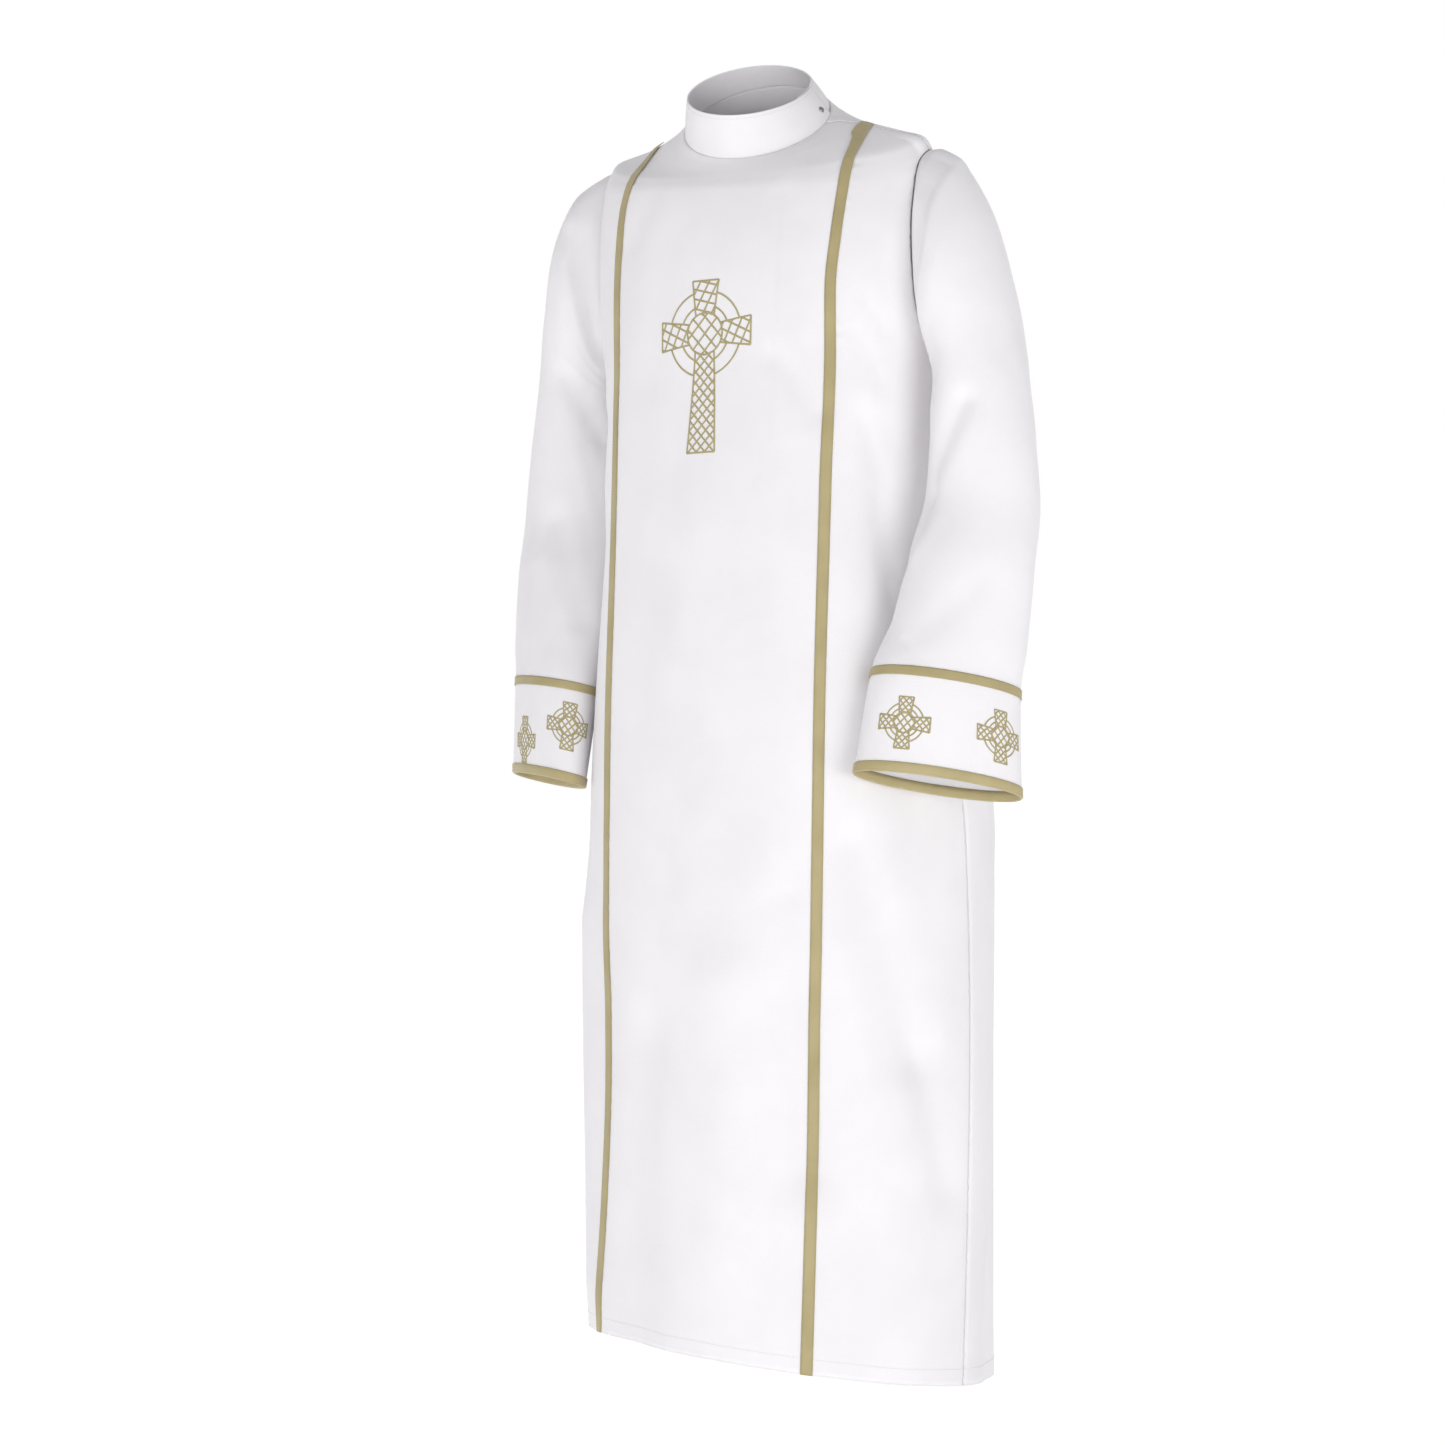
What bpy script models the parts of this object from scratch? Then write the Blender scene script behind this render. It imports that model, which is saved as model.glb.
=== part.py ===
"""A white alb on an unseen wearer: each cut piece is a thin solid, in metres, +Z up, front towards -Y."""

import functools
import math

import bmesh
import bpy
import numpy as np
from mathutils import Matrix, Vector

# Cloth, ribbon and seams
CLOTH = 0.0015
RIBBON = 0.0010
SEAM_GAP = 0.0003
BAND_WIDTH = 0.0110
CUFF_RIBBON_WIDTH = 0.0100
SHOULDER_LIFT = 0.0010
STEP = 1e-4

# Body
HEM_LEVEL = -1.375
ARMHOLE_X = 0.2045
SEAM_TOP_X = 0.1355
ARMHOLE_STEPS = 14
FRONT_COLUMNS = 14
SIDE_COLUMNS = 7
BACK_COLUMNS = 18

# Level, half width, front, back and side y, front tilt, lean from right to left, squareness, back tilt
BODY_ROWS = (
    (-1.3750, 0.2297, -0.1494, 0.3108, 0.0570, -0.167, -0.043, 0.000, -0.167),
    (-1.0000, 0.2386, -0.1350, 0.2977, 0.0570, -0.050, -0.020, 0.004, -0.050),
    (-0.8000, 0.2340, -0.1285, 0.2962, 0.0570, 0.000, 0.000, 0.018, 0.000),
    (-0.6000, 0.2080, -0.1188, 0.2500, 0.0540, 0.000, 0.000, 0.046, 0.000),
    (-0.4200, 0.1940, -0.1090, 0.2150, 0.0480, 0.000, 0.000, 0.052, 0.000),
    (-0.2800, 0.2030, -0.0982, 0.1900, 0.0420, 0.000, 0.000, 0.038, 0.000),
    (-0.2000, 0.2110, -0.0960, 0.1820, 0.0370, 0.040, -0.015, 0.034, 0.040),
    (-0.1250, 0.2140, -0.0890, 0.1680, 0.0320, 0.120, -0.040, 0.029, 0.110),
    (-0.0673, 0.2110, -0.0810, 0.1400, 0.0250, 0.230, -0.070, 0.016, 0.130),
    (-0.0322, 0.1990, -0.0735, 0.1120, 0.0180, 0.462, -0.056, 0.004, 0.110),
    (-0.0150, 0.1400, -0.0665, 0.0840, 0.0090, 0.636, -0.030, 0.000, 0.200),
    (-0.0060, 0.1079, -0.0625, 0.0680, 0.0030, 0.763, -0.060, 0.000, 0.500),
    (0.0000, 0.0885, -0.0603, 0.0603, 0.0000, 0.860, -0.140, 0.000, 0.860),
)

# Level, and how far out the left and the right princess seam run there
SEAM_ROWS = (
    (-1.3750, 0.1340, 0.1360),
    (-1.2200, 0.1365, 0.1255),
    (-1.1000, 0.1380, 0.1220),
    (-1.0000, 0.1380, 0.1245),
    (-0.8900, 0.1395, 0.1310),
    (-0.6900, 0.1410, 0.1325),
    (-0.4200, 0.1405, 0.1315),
    (-0.3000, 0.1405, 0.1383),
    (-0.2000, 0.1408, 0.1380),
    (-0.1300, 0.1443, 0.1385),
    (-0.0900, 0.1458, 0.1374),
    (-0.0650, 0.1463, 0.1343),
    (-0.0450, 0.1462, 0.1322),
    (-0.0320, 0.1460, 0.1308),
    (-0.0230, 0.1448, 0.1318),
    (-0.0170, 0.1410, 0.1335),
    (-0.0130, SEAM_TOP_X, SEAM_TOP_X),
    (0.0000, SEAM_TOP_X, SEAM_TOP_X),
)

# Each fold of the body: level and degrees from the front at both ends, half width, height
BODY_FOLDS = (
    (-0.860, 25, -1.150, 34, 0.024, -0.0060),
    (-0.960, 10, -1.230, 12, 0.042, 0.0065),
    (-1.080, 58, -1.330, 63, 0.045, 0.0070),
    (-0.800, 46, -1.025, 66, 0.024, -0.0055),
    (-1.025, 66, -1.160, 78, 0.024, -0.0050),
    (-0.277, 21, -0.338, 37, 0.014, -0.0030),
    (-0.350, 57, -0.540, 70, 0.020, -0.0050),
    (-0.340, -58, -0.520, -70, 0.020, -0.0045),
    (-0.480, 66, -0.780, 64, 0.050, -0.0075),
    (-0.480, -66, -0.780, -64, 0.050, -0.0075),
    (-0.900, -48, -1.320, -42, 0.038, 0.0060),
    (-1.020, -14, -1.370, -18, 0.034, -0.0055),
    (-0.760, 122, -1.370, 112, 0.045, -0.0070),
    (-0.520, 150, -1.370, 142, 0.048, 0.0080),
    (-0.600, 182, -1.370, 178, 0.040, -0.0075),
    (-0.500, 212, -1.370, 218, 0.048, 0.0080),
    (-0.780, 236, -1.370, 246, 0.042, -0.0065),
)

# Sleeve centre x, y and z, half width, half depth, and degrees of lift, twist and pitch, from armhole to edge
SLEEVE_ROWS = (
    (0.2068, 0.0279, -0.1474, 0.1146, 0.0470, 90.1, 0.0, 0),
    (0.2266, 0.0242, -0.1592, 0.1077, 0.0560, 82.5, 0.0, 0),
    (0.2336, 0.0205, -0.1681, 0.1036, 0.0620, 79.7, 0.0, 0),
    (0.2447, 0.0212, -0.1885, 0.0910, 0.0640, 72.0, 0.0, 0),
    (0.2559, 0.0261, -0.2327, 0.0652, 0.0630, 53.3, 0.0, 0),
    (0.2631, 0.0313, -0.2846, 0.0508, 0.0620, 24.9, 0.0, 0),
    (0.2693, 0.0262, -0.4200, 0.0605, 0.0600, 0.0, 14.6, 0),
    (0.2648, 0.0050, -0.5000, 0.0695, 0.0560, 0.0, 23.3, 5),
    (0.2614, -0.0157, -0.5800, 0.0744, 0.0500, 0.0, 30.3, 9),
    (0.2562, -0.0300, -0.6280, 0.0794, 0.0450, 0.0, 34.8, 12),
    (0.2559, -0.0465, -0.7340, 0.0895, 0.0370, 0.0, 38.0, 15),
)
CUFF_ROW = 9.0
LAST_ROW = 10.0
ELBOW_ROW = 6.0
CUFF_DIP = {1: math.radians(-9), -1: 0.0}
SLEEVE_LEAN = -0.05
SLEEVE_COLUMNS = 2 * ARMHOLE_STEPS

# Each fold of the left and of the right sleeve: row and degrees from the top at both ends, half width, height
SLEEVE_FOLDS = {
    1: (
        (6.05, 148, 5.40, 84, 0.014, -0.0060),
        (6.10, 146, 7.00, 170, 0.015, -0.0060),
        (7.00, 170, 7.80, 182, 0.016, -0.0045),
        (2.20, 250, 4.80, 205, 0.020, -0.0050),
        (6.90, 300, 8.40, 250, 0.022, -0.0045),
    ),
    -1: (
        (1.60, 63, 0.80, 138, 0.018, -0.0050),
        (4.60, 112, 5.40, 165, 0.015, -0.0055),
        (6.20, 120, 7.60, 165, 0.018, -0.0045),
        (2.20, 250, 4.80, 205, 0.020, -0.0050),
        (6.60, 305, 8.20, 255, 0.022, -0.0045),
    ),
}

# Collar ring: centre x, y and z, half width, half depth, tilt in radians, lean
COLLAR_BASE = np.array([0.0, 0.0, 0.0, 0.0880, 0.0792, 0.7098, -0.14])
COLLAR_TOP = np.array([-0.0016, -0.0136, 0.0316, 0.0721, 0.0728, 0.5683, -0.1893])
COLLAR_RISE = 0.0009
COLLAR_START = 80.0
COLLAR_END = 465.0
COLLAR_COLUMNS = 44
UNDERLAP_OFFSET = 0.0021

# Press stud on the collar's overlap
STUD_RADIUS = 0.0036
STUD_HEIGHT = 0.0012
STUD_ANGLE = 456.0
STUD_SHARE = 0.30

CLOTH_COLOUR = (0.86, 0.85, 0.86, 1.0)
RIBBON_COLOUR = (0.50, 0.43, 0.22, 1.0)
STUD_COLOUR = (0.30, 0.29, 0.27, 1.0)


def clear_scene():
    for obj in list(bpy.data.objects):
        bpy.data.objects.remove(obj, do_unlink=True)


def between_rows(where, at, values):
    """Monotone curve through the values of a table's column, which never swings past a row."""
    at, values = np.asarray(at, float), np.asarray(values, float)
    span, rise = np.diff(at), np.diff(values) / np.diff(at)
    slope = np.concatenate([rise[:1], np.zeros(len(at) - 2), rise[-1:]])
    for i in range(1, len(at) - 1):
        if rise[i - 1] * rise[i] > 0:
            before, after = 2 * span[i] + span[i - 1], span[i] + 2 * span[i - 1]
            slope[i] = (before + after) / (before / rise[i - 1] + after / rise[i])
    i = np.clip(np.searchsorted(at, where) - 1, 0, len(at) - 2)
    t = (where - at[i]) / span[i]
    start = (1 + 2 * t) * (1 - t) ** 2 * values[i] + t * (1 - t) ** 2 * span[i] * slope[i]
    return start + t * t * (3 - 2 * t) * values[i + 1] + t * t * (t - 1) * span[i] * slope[i + 1]


def columns_of(table, where):
    """The table's columns after the first, read at the given values of the first."""
    first, *others = zip(*table)
    return [between_rows(where, first, column) for column in others]


def ease(share):
    share = np.clip(share, 0, 1)
    return share * share * (3 - 2 * share)


def fold_height(points, folds):
    """Sum of soft ridges and troughs, each along a straight line between two points of the surface."""
    height = np.zeros(points.shape[:-1])
    for start, end, half_width, depth in folds:
        along = end - start
        share = np.clip((points - start) @ along / (along @ along), 0, 1)
        away = np.linalg.norm(points - start - share[..., None] * along, axis=-1)
        height += depth * np.exp(-((away / half_width) ** 2))
    return height


def outward(surface, first, second):
    """Unit normal of a surface of two parameters: towards (second direction) x (first direction)."""
    along_first = surface(first + STEP, second) - surface(first - STEP, second)
    along_second = surface(first, second + STEP) - surface(first, second - STEP)
    normal = np.cross(along_second, along_first)
    return normal / np.linalg.norm(normal, axis=-1, keepdims=True)


def body_form(level, angle):
    """Body without folds. The angle runs from the front centre towards the wearer's left."""
    level, angle = np.broadcast_arrays(np.asarray(level, float), np.asarray(angle, float))
    width, front, back, side, tilt, lean, square, back_tilt = columns_of(BODY_ROWS, level)
    x = width * (np.sin(angle) + square * np.sin(3 * angle)) / (1 - square)
    ahead = (np.cos(angle) - square * np.cos(3 * angle)) / (1 - square)
    y = side + np.where(ahead > 0, front - side, side - back) * ahead
    tilt = tilt + (back_tilt - tilt) * ease(0.5 - 1.5 * ahead)
    return np.stack([x, y, level + tilt * (y - side) + lean * x], axis=-1)


@functools.cache
def body_folds():
    folds = []
    for level, angle, end_level, end_angle, half_width, depth in BODY_FOLDS:
        ends = body_form(level, math.radians(angle)), body_form(end_level, math.radians(end_angle))
        folds.append((*ends, half_width, depth))
    return folds


def body_surface(level, angle):
    points = body_form(level, angle)
    height = fold_height(points, body_folds())
    return points + outward(body_form, level, angle) * height[..., None]


def angle_at(level, x):
    """Angle of the front half at which the body is x metres out, or a quarter turn where it never is."""
    width, square = columns_of(BODY_ROWS, level)[0], columns_of(BODY_ROWS, level)[6]
    wanted = np.minimum(x * (1 - square) / width, 1 - square)
    sine = np.clip(x / width, 0, 1)
    for _ in range(12):
        error = (1 + 3 * square) * sine - 4 * square * sine**3 - wanted
        sine = np.clip(sine - error / np.maximum(1 + 3 * square - 12 * square * sine**2, 0.05), 0, 1)
    return np.arcsin(sine)


def level_of_width(x, low, high):
    """Level between low and high at which the body's half width is x, with the body narrower above."""
    for _ in range(50):
        middle = (low + high) / 2
        if columns_of(BODY_ROWS, np.array(middle))[0] > x:
            low = middle
        else:
            high = middle
    return low


def seam_x(level, side):
    return columns_of(SEAM_ROWS, level)[0 if side > 0 else 1]


def gap_angle(level, angle):
    """Half a seam gap as an angle, at a place on the body."""
    step = body_form(level, angle + STEP) - body_form(level, angle - STEP)
    return SEAM_GAP / 2 / (np.linalg.norm(step, axis=-1) / (2 * STEP))


@functools.cache
def armhole_levels():
    """Level of the armpit and of the armhole's top."""
    top = level_of_width(ARMHOLE_X, -0.125, -0.015)
    low, high = -0.40, -0.20
    for _ in range(50):
        middle = (low + high) / 2
        if columns_of(BODY_ROWS, np.array(middle))[0] < ARMHOLE_X:
            low = middle
        else:
            high = middle
    return high, top


def side_angle(level):
    """Angle of the side seam, the armhole edge or the shoulder seam, seen from the front."""
    armpit, top = armhole_levels()
    edge = angle_at(level, ARMHOLE_X)
    return np.where((level > armpit) & (level < top), edge, math.pi / 2)


def row_levels():
    """Rows of the body's panels: hem to armpit, round the armhole, and on to the shoulder."""
    armpit, top = armhole_levels()
    skirt = [HEM_LEVEL, -1.330, -1.260, -1.180, -1.100, -1.020, -0.940, -0.860]
    skirt += [-0.780, -0.700, -0.620, -0.540, -0.470, -0.405, -0.350, -0.305]
    turns = np.linspace(math.pi, 0, ARMHOLE_STEPS + 1)
    around = (armpit + top) / 2 + (top - armpit) / 2 * np.cos(turns)
    end = level_of_width(SEAM_TOP_X, -0.0322, 0.0)
    over = [end - share * (end - top) for share in (0.55, 0.28, 0.12, 0.04, 0.01)]
    return np.array([*skirt, *around, *over]), end


def colour_of(name, colour, roughness, metallic):
    material = bpy.data.materials.new(name)
    material.use_nodes = True
    shader = material.node_tree.nodes["Principled BSDF"]
    shader.inputs["Base Color"].default_value = colour
    shader.inputs["Roughness"].default_value = roughness
    shader.inputs["Metallic"].default_value = metallic
    return material


def object_from(name, mesh_data, colour, roughness=0.8, metallic=0.0):
    """Closes a bmesh into a named object of its own material, with its faces outwards."""
    bmesh.ops.recalc_face_normals(mesh_data, faces=mesh_data.faces[:])
    mesh = bpy.data.meshes.new(name)
    mesh_data.to_mesh(mesh)
    mesh_data.free()
    mesh.materials.append(colour_of(name + "_material", colour, roughness, metallic))
    obj = bpy.data.objects.new(name, mesh)
    bpy.context.scene.collection.objects.link(obj)
    return obj


def loft(name, layers, colour, around_columns=False, **finish):
    """Solid between an outer and an inner grid of points, with closed rims. A tube's columns run round."""
    solid = bmesh.new()
    outer, inner = [[[solid.verts.new(p) for p in row] for row in grid] for grid in layers]
    rows, columns = len(outer), len(outer[0])
    steps = columns if around_columns else columns - 1
    for i in range(rows - 1):
        for j in range(steps):
            k = (j + 1) % columns
            solid.faces.new((outer[i][j], outer[i][k], outer[i + 1][k], outer[i + 1][j]))
            solid.faces.new((inner[i][j], inner[i + 1][j], inner[i + 1][k], inner[i][k]))
    for j in range(steps):
        k = (j + 1) % columns
        for i in (0, rows - 1):
            solid.faces.new((outer[i][j], outer[i][k], inner[i][k], inner[i][j]))
    if not around_columns:
        for i in range(rows - 1):
            for j in (0, columns - 1):
                solid.faces.new((outer[i][j], outer[i + 1][j], inner[i + 1][j], inner[i][j]))
    return object_from(name, solid, colour, **finish)


def ring_solid(name, rings, colour, **finish):
    """Solid ring from a closed profile: rings[i][j] is profile point i at turn j."""
    solid = bmesh.new()
    points = [[solid.verts.new(p) for p in row] for row in rings]
    count, turns = len(points), len(points[0])
    for i in range(count):
        for j in range(turns):
            n, k = (i + 1) % count, (j + 1) % turns
            solid.faces.new((points[i][j], points[i][k], points[n][k], points[n][j]))
    return object_from(name, solid, colour, **finish)


def layers_on(surface, first, second, lift, thickness, side=1):
    """Outer and inner grid of a sheet that lies lift metres off a surface."""
    points, normal = surface(first, second), outward(surface, first, second) * side
    lift = np.asarray(lift)[..., None]
    return points + normal * (lift + thickness), points + normal * lift


def wall_on(surface, first, second, side=1):
    """Outer and inner grid of a cloth whose outside is the surface."""
    return layers_on(surface, first, second, -CLOTH, CLOTH, side)


def spread(start, end, count):
    """Grid of count + 1 columns between two edges, row by row."""
    share = np.linspace(0, 1, count + 1)
    return start[:, None] + (end - start)[:, None] * share[None, :]


def band_edge(levels, seam, side, way):
    """Angle of a gold band's edge, inwards (-1) or outwards (1) of the seam, and at least a little off it."""
    angle = angle_at(levels, seam_x(levels, side) + way * BAND_WIDTH / 2)
    if way < 0:
        return np.minimum(seam - 0.01, angle)
    return np.clip(angle, seam + 0.005, (seam + math.pi / 2) / 2)


def make_front_panel():
    levels, end = row_levels()
    levels = np.concatenate([levels, [end], end * np.array([0.75, 0.5, 0.25, 0.0])])
    left = np.where(levels < end, angle_at(levels, seam_x(levels, 1)), math.pi / 2)
    right = -np.where(levels < end, angle_at(levels, seam_x(levels, -1)), math.pi / 2)
    left, right = left - gap_angle(levels, left), right + gap_angle(levels, right)
    under_left, under_right = band_edge(levels, left, 1, -1), -band_edge(levels, -right, -1, -1)
    angle = spread(under_right, under_left, FRONT_COLUMNS)
    angle = np.concatenate([right[:, None], angle, left[:, None]], axis=1)
    loft("front_panel", wall_on(body_surface, levels[:, None] + 0 * angle, angle), CLOTH_COLOUR)


def make_side_front(side):
    levels, _ = row_levels()
    inner = angle_at(levels, seam_x(levels, side))
    outer = side_angle(levels)
    inner, outer = inner + gap_angle(levels, inner), outer - gap_angle(levels, outer)
    angle = spread(band_edge(levels, inner, side, 1), outer, SIDE_COLUMNS)
    angle = np.concatenate([inner[:, None], angle], axis=1) * side
    name = "side_front_left" if side > 0 else "side_front_right"
    loft(name, wall_on(body_surface, levels[:, None] + 0 * angle, angle), CLOTH_COLOUR)


def make_back_panel():
    levels, end = row_levels()
    levels = np.concatenate([levels, [end], end * np.array([0.75, 0.5, 0.25, 0.0])])
    edge = math.pi - side_angle(levels)
    edge = edge + gap_angle(levels, edge)
    angle = spread(edge, 2 * math.pi - edge, BACK_COLUMNS)
    loft("back_panel", wall_on(body_surface, levels[:, None] + 0 * angle, angle), CLOTH_COLOUR)


def make_band(side):
    """Gold ribbon over a princess seam, from the hem to the shoulder seam."""
    levels, end = row_levels()
    levels = np.append(levels, end)
    _, top = armhole_levels()
    level_columns, angle_columns = [], []
    for offset in (-BAND_WIDTH / 2, 0.0, BAND_WIDTH / 2):
        last = level_of_width(SEAM_TOP_X + offset, -0.0322, 0.0)
        column = np.where(levels > top, top + (last - top) * (levels - top) / (end - top), levels)
        angle = angle_at(column, seam_x(column, side) + offset)
        angle[-1] = math.pi / 2
        level_columns.append(column)
        angle_columns.append(np.minimum(angle, math.pi / 2 - 2 * gap_angle(column, angle)))
    level, angle = np.stack(level_columns, axis=1), np.stack(angle_columns, axis=1) * side
    name = "band_left" if side > 0 else "band_right"
    lift = SEAM_GAP + SHOULDER_LIFT * ease((level - top + 0.02) / 0.02)
    loft(name, layers_on(body_surface, level, angle, lift, RIBBON), RIBBON_COLOUR, roughness=0.5)


def armhole_ring(turn, side):
    """Edge of the armhole, moved out by the seam gap. Turn 0 is the top and a quarter turn the front."""
    armpit, top = armhole_levels()
    level = (armpit + top) / 2 + (top - armpit) / 2 * np.cos(turn)
    level = np.clip(level, armpit + 1e-12, top - 1e-12)
    front = angle_at(level, ARMHOLE_X)
    angle = np.where(np.sin(turn) >= 0, front, math.pi - front)
    points = body_surface(level, angle * side)
    points[..., 0] += side * SEAM_GAP
    return points


def sleeve_form(row, turn, side):
    """Sleeve without folds. Rows follow the table. Turn 0 is the top or outer side, a quarter turn the front."""
    row, turn = np.broadcast_arrays(np.asarray(row, float), np.asarray(turn, float))
    points = sleeve_ovals(row, turn, side)
    fade = (1 - ease(row / 2.5))[..., None]
    return points + fade * (armhole_ring(turn, side) - sleeve_ovals(np.zeros_like(row), turn, side))


def sleeve_ovals(row, turn, side):
    """Oval sections of the sleeve, before its first rows are drawn onto the armhole."""
    rows = range(len(SLEEVE_ROWS))
    x, y, z, wide, deep, lift, twist, pitch = (between_rows(row, rows, column) for column in zip(*SLEEVE_ROWS))
    dip = CUFF_DIP[side] * ease((row - ELBOW_ROW) / (CUFF_ROW - ELBOW_ROW))
    lift, twist, pitch = np.radians(lift) + dip, np.radians(twist), np.radians(pitch)
    across = np.stack([np.cos(lift) * np.cos(twist), np.cos(lift) * np.sin(twist), np.sin(lift)], axis=-1)
    forward = np.stack([np.sin(twist) * np.cos(pitch), -np.cos(twist) * np.cos(pitch), np.sin(pitch)], axis=-1)
    points = np.stack([x, y, z], axis=-1) + (wide * np.cos(turn))[..., None] * across
    points = (points + (deep * np.sin(turn))[..., None] * forward) * np.array([side, 1, 1])
    points[..., 2] += SLEEVE_LEAN * points[..., 0] * ease((points[..., 2] + 0.35) / 0.3)
    return points


def sleeve_surface_of(side):
    """Surface function of one sleeve, folds and all."""

    def form(row, turn):
        return sleeve_form(row, turn, side)

    folds = []
    for row, turn, end_row, end_turn, half_width, depth in SLEEVE_FOLDS[side]:
        folds.append((form(row, math.radians(turn)), form(end_row, math.radians(end_turn)), half_width, depth))

    def surface(row, turn):
        points = form(row, turn)
        height = fold_height(points, folds) * ease((row - 0.02) / 0.8)
        return points + outward(form, row, turn) * side * height[..., None]

    return surface


def row_speed(surface, row, turn):
    """Metres of sleeve per row of the table, at a place on it."""
    return np.linalg.norm(surface(row + STEP, turn) - surface(row - STEP, turn), axis=-1) / (2 * STEP)


def sleeve_turns(rows):
    turns = np.arange(SLEEVE_COLUMNS) * 2 * math.pi / SLEEVE_COLUMNS
    return np.broadcast_arrays(np.asarray(rows, float)[:, None], turns[None, :])


def make_sleeve(side):
    surface = sleeve_surface_of(side)
    rows = [0.0, 0.35, 0.8, 1.4, 2.0, 2.6, 3.2, 3.8, 4.4, 4.9, 5.25, 5.6, 6.0, 6.35, 6.7, 7.1, 7.5, 8.0, 8.5]
    row, turn = sleeve_turns([*rows, CUFF_ROW, CUFF_ROW])
    speed = row_speed(surface, row[-1], turn[-1])
    row = np.vstack([row[:-2], row[-2:] - np.array([[CUFF_RIBBON_WIDTH], [SEAM_GAP]]) / 2 / speed])
    name = "sleeve_left" if side > 0 else "sleeve_right"
    loft(name, wall_on(surface, row, turn, side), CLOTH_COLOUR, around_columns=True)


def make_cuff(side):
    surface = sleeve_surface_of(side)
    row, turn = sleeve_turns([CUFF_ROW, CUFF_ROW, (CUFF_ROW + LAST_ROW) / 2, LAST_ROW, LAST_ROW])
    speed = row_speed(surface, row - STEP, turn)
    row = row + np.array([SEAM_GAP / 2, CUFF_RIBBON_WIDTH / 2, 0, -CUFF_RIBBON_WIDTH, 0])[:, None] / speed
    name = "cuff_left" if side > 0 else "cuff_right"
    loft(name, wall_on(surface, row, turn, side), CLOTH_COLOUR, around_columns=True)


def make_cuff_ribbon(side):
    """Gold ribbon that covers the seam between sleeve and cuff."""
    surface = sleeve_surface_of(side)
    row, turn = sleeve_turns([CUFF_ROW, CUFF_ROW, CUFF_ROW])
    half = CUFF_RIBBON_WIDTH / 2 / row_speed(surface, row[0], turn[0])
    row = row + half * np.array([-1.0, 0.0, 1.0])[:, None]
    name = "cuff_ribbon_left" if side > 0 else "cuff_ribbon_right"
    layers = layers_on(surface, row, turn, SEAM_GAP, RIBBON, side)
    loft(name, layers, RIBBON_COLOUR, around_columns=True, roughness=0.5)


def make_cuff_binding(side):
    """Gold binding folded over the sleeve's edge, so its section is a U."""
    surface = sleeve_surface_of(side)
    _, turn = sleeve_turns([LAST_ROW])
    turn = turn[0]
    outside, inside = SEAM_GAP + RIBBON, -CLOTH - SEAM_GAP - RIBBON
    end, tall = -SEAM_GAP - RIBBON, CUFF_RIBBON_WIDTH
    profile = (
        (outside, tall), (outside, end), (inside, end), (inside, tall),
        (inside + RIBBON, tall), (inside + RIBBON, -SEAM_GAP), (SEAM_GAP, -SEAM_GAP), (SEAM_GAP, tall),
    )
    edge = surface(np.full_like(turn, LAST_ROW), turn)
    before = surface(np.full_like(turn, LAST_ROW - 0.05), turn)
    down = (edge - before) / np.linalg.norm(edge - before, axis=-1, keepdims=True)
    speed = row_speed(surface, np.full_like(turn, LAST_ROW - STEP), turn)
    rings = []
    for out, up in profile:
        row = LAST_ROW - max(up, 0.0) / speed
        normal = outward(surface, row - STEP, turn) * side
        rings.append(surface(row, turn) + normal * out + down * max(-up, 0.0))
    name = "cuff_binding_left" if side > 0 else "cuff_binding_right"
    ring_solid(name, rings, RIBBON_COLOUR, roughness=0.5)


def collar_surface(share, angle):
    """Collar from its seam (0) to its top edge (1). Its first part runs inside the end that laps over it."""
    share, angle = np.broadcast_arrays(np.asarray(share, float), np.asarray(angle, float))
    ring = COLLAR_BASE + share[..., None] * (COLLAR_TOP - COLLAR_BASE)
    under = UNDERLAP_OFFSET * (1 - ease((np.degrees(angle) - COLLAR_END + 360) / 30))
    across = np.stack([np.ones_like(share), np.zeros_like(share), ring[..., 6]], axis=-1)
    forward = np.stack([np.zeros_like(share), -np.cos(ring[..., 5]), -np.sin(ring[..., 5])], axis=-1)
    points = ring[..., :3] + ((ring[..., 3] - under) * np.sin(angle))[..., None] * across
    points = points + ((ring[..., 4] - under) * np.cos(angle))[..., None] * forward
    points[..., 2] += COLLAR_RISE
    return points


def make_collar():
    angles = np.radians(np.linspace(COLLAR_START, COLLAR_END, COLLAR_COLUMNS + 1))
    share, angle = np.broadcast_arrays(np.linspace(0, 1, 4)[:, None], angles[None, :])
    loft("collar", wall_on(collar_surface, share, angle), CLOTH_COLOUR)


def make_stud():
    """Cap of the press stud that closes the collar."""
    share, angle = np.array(STUD_SHARE), np.array(math.radians(STUD_ANGLE))
    normal = Vector(outward(collar_surface, share, angle))
    centre = Vector(collar_surface(share, angle)) + normal * (2 * SEAM_GAP + STUD_HEIGHT / 2)
    place = Matrix.Translation(centre) @ normal.to_track_quat("Z", "Y").to_matrix().to_4x4()
    solid = bmesh.new()
    radii = {"radius1": STUD_RADIUS, "radius2": STUD_RADIUS * 0.7}
    bmesh.ops.create_cone(solid, cap_ends=True, segments=20, depth=STUD_HEIGHT, matrix=place, **radii)
    object_from("collar_stud", solid, STUD_COLOUR, roughness=0.35, metallic=1.0)


def main():
    clear_scene()
    make_front_panel()
    make_back_panel()
    make_collar()
    make_stud()
    for side in (1, -1):
        make_side_front(side)
        make_band(side)
        make_sleeve(side)
        make_cuff(side)
        make_cuff_ribbon(side)
        make_cuff_binding(side)


main()
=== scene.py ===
"""Looks of a white alb on an unseen wearer: cloth, gold ribbon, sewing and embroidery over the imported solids."""

import functools
import logging
import math
from collections.abc import Callable, Sequence
from dataclasses import dataclass, field
from enum import Enum

import bmesh
import bpy
import numpy as np
from mathutils import Matrix, Vector


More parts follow.
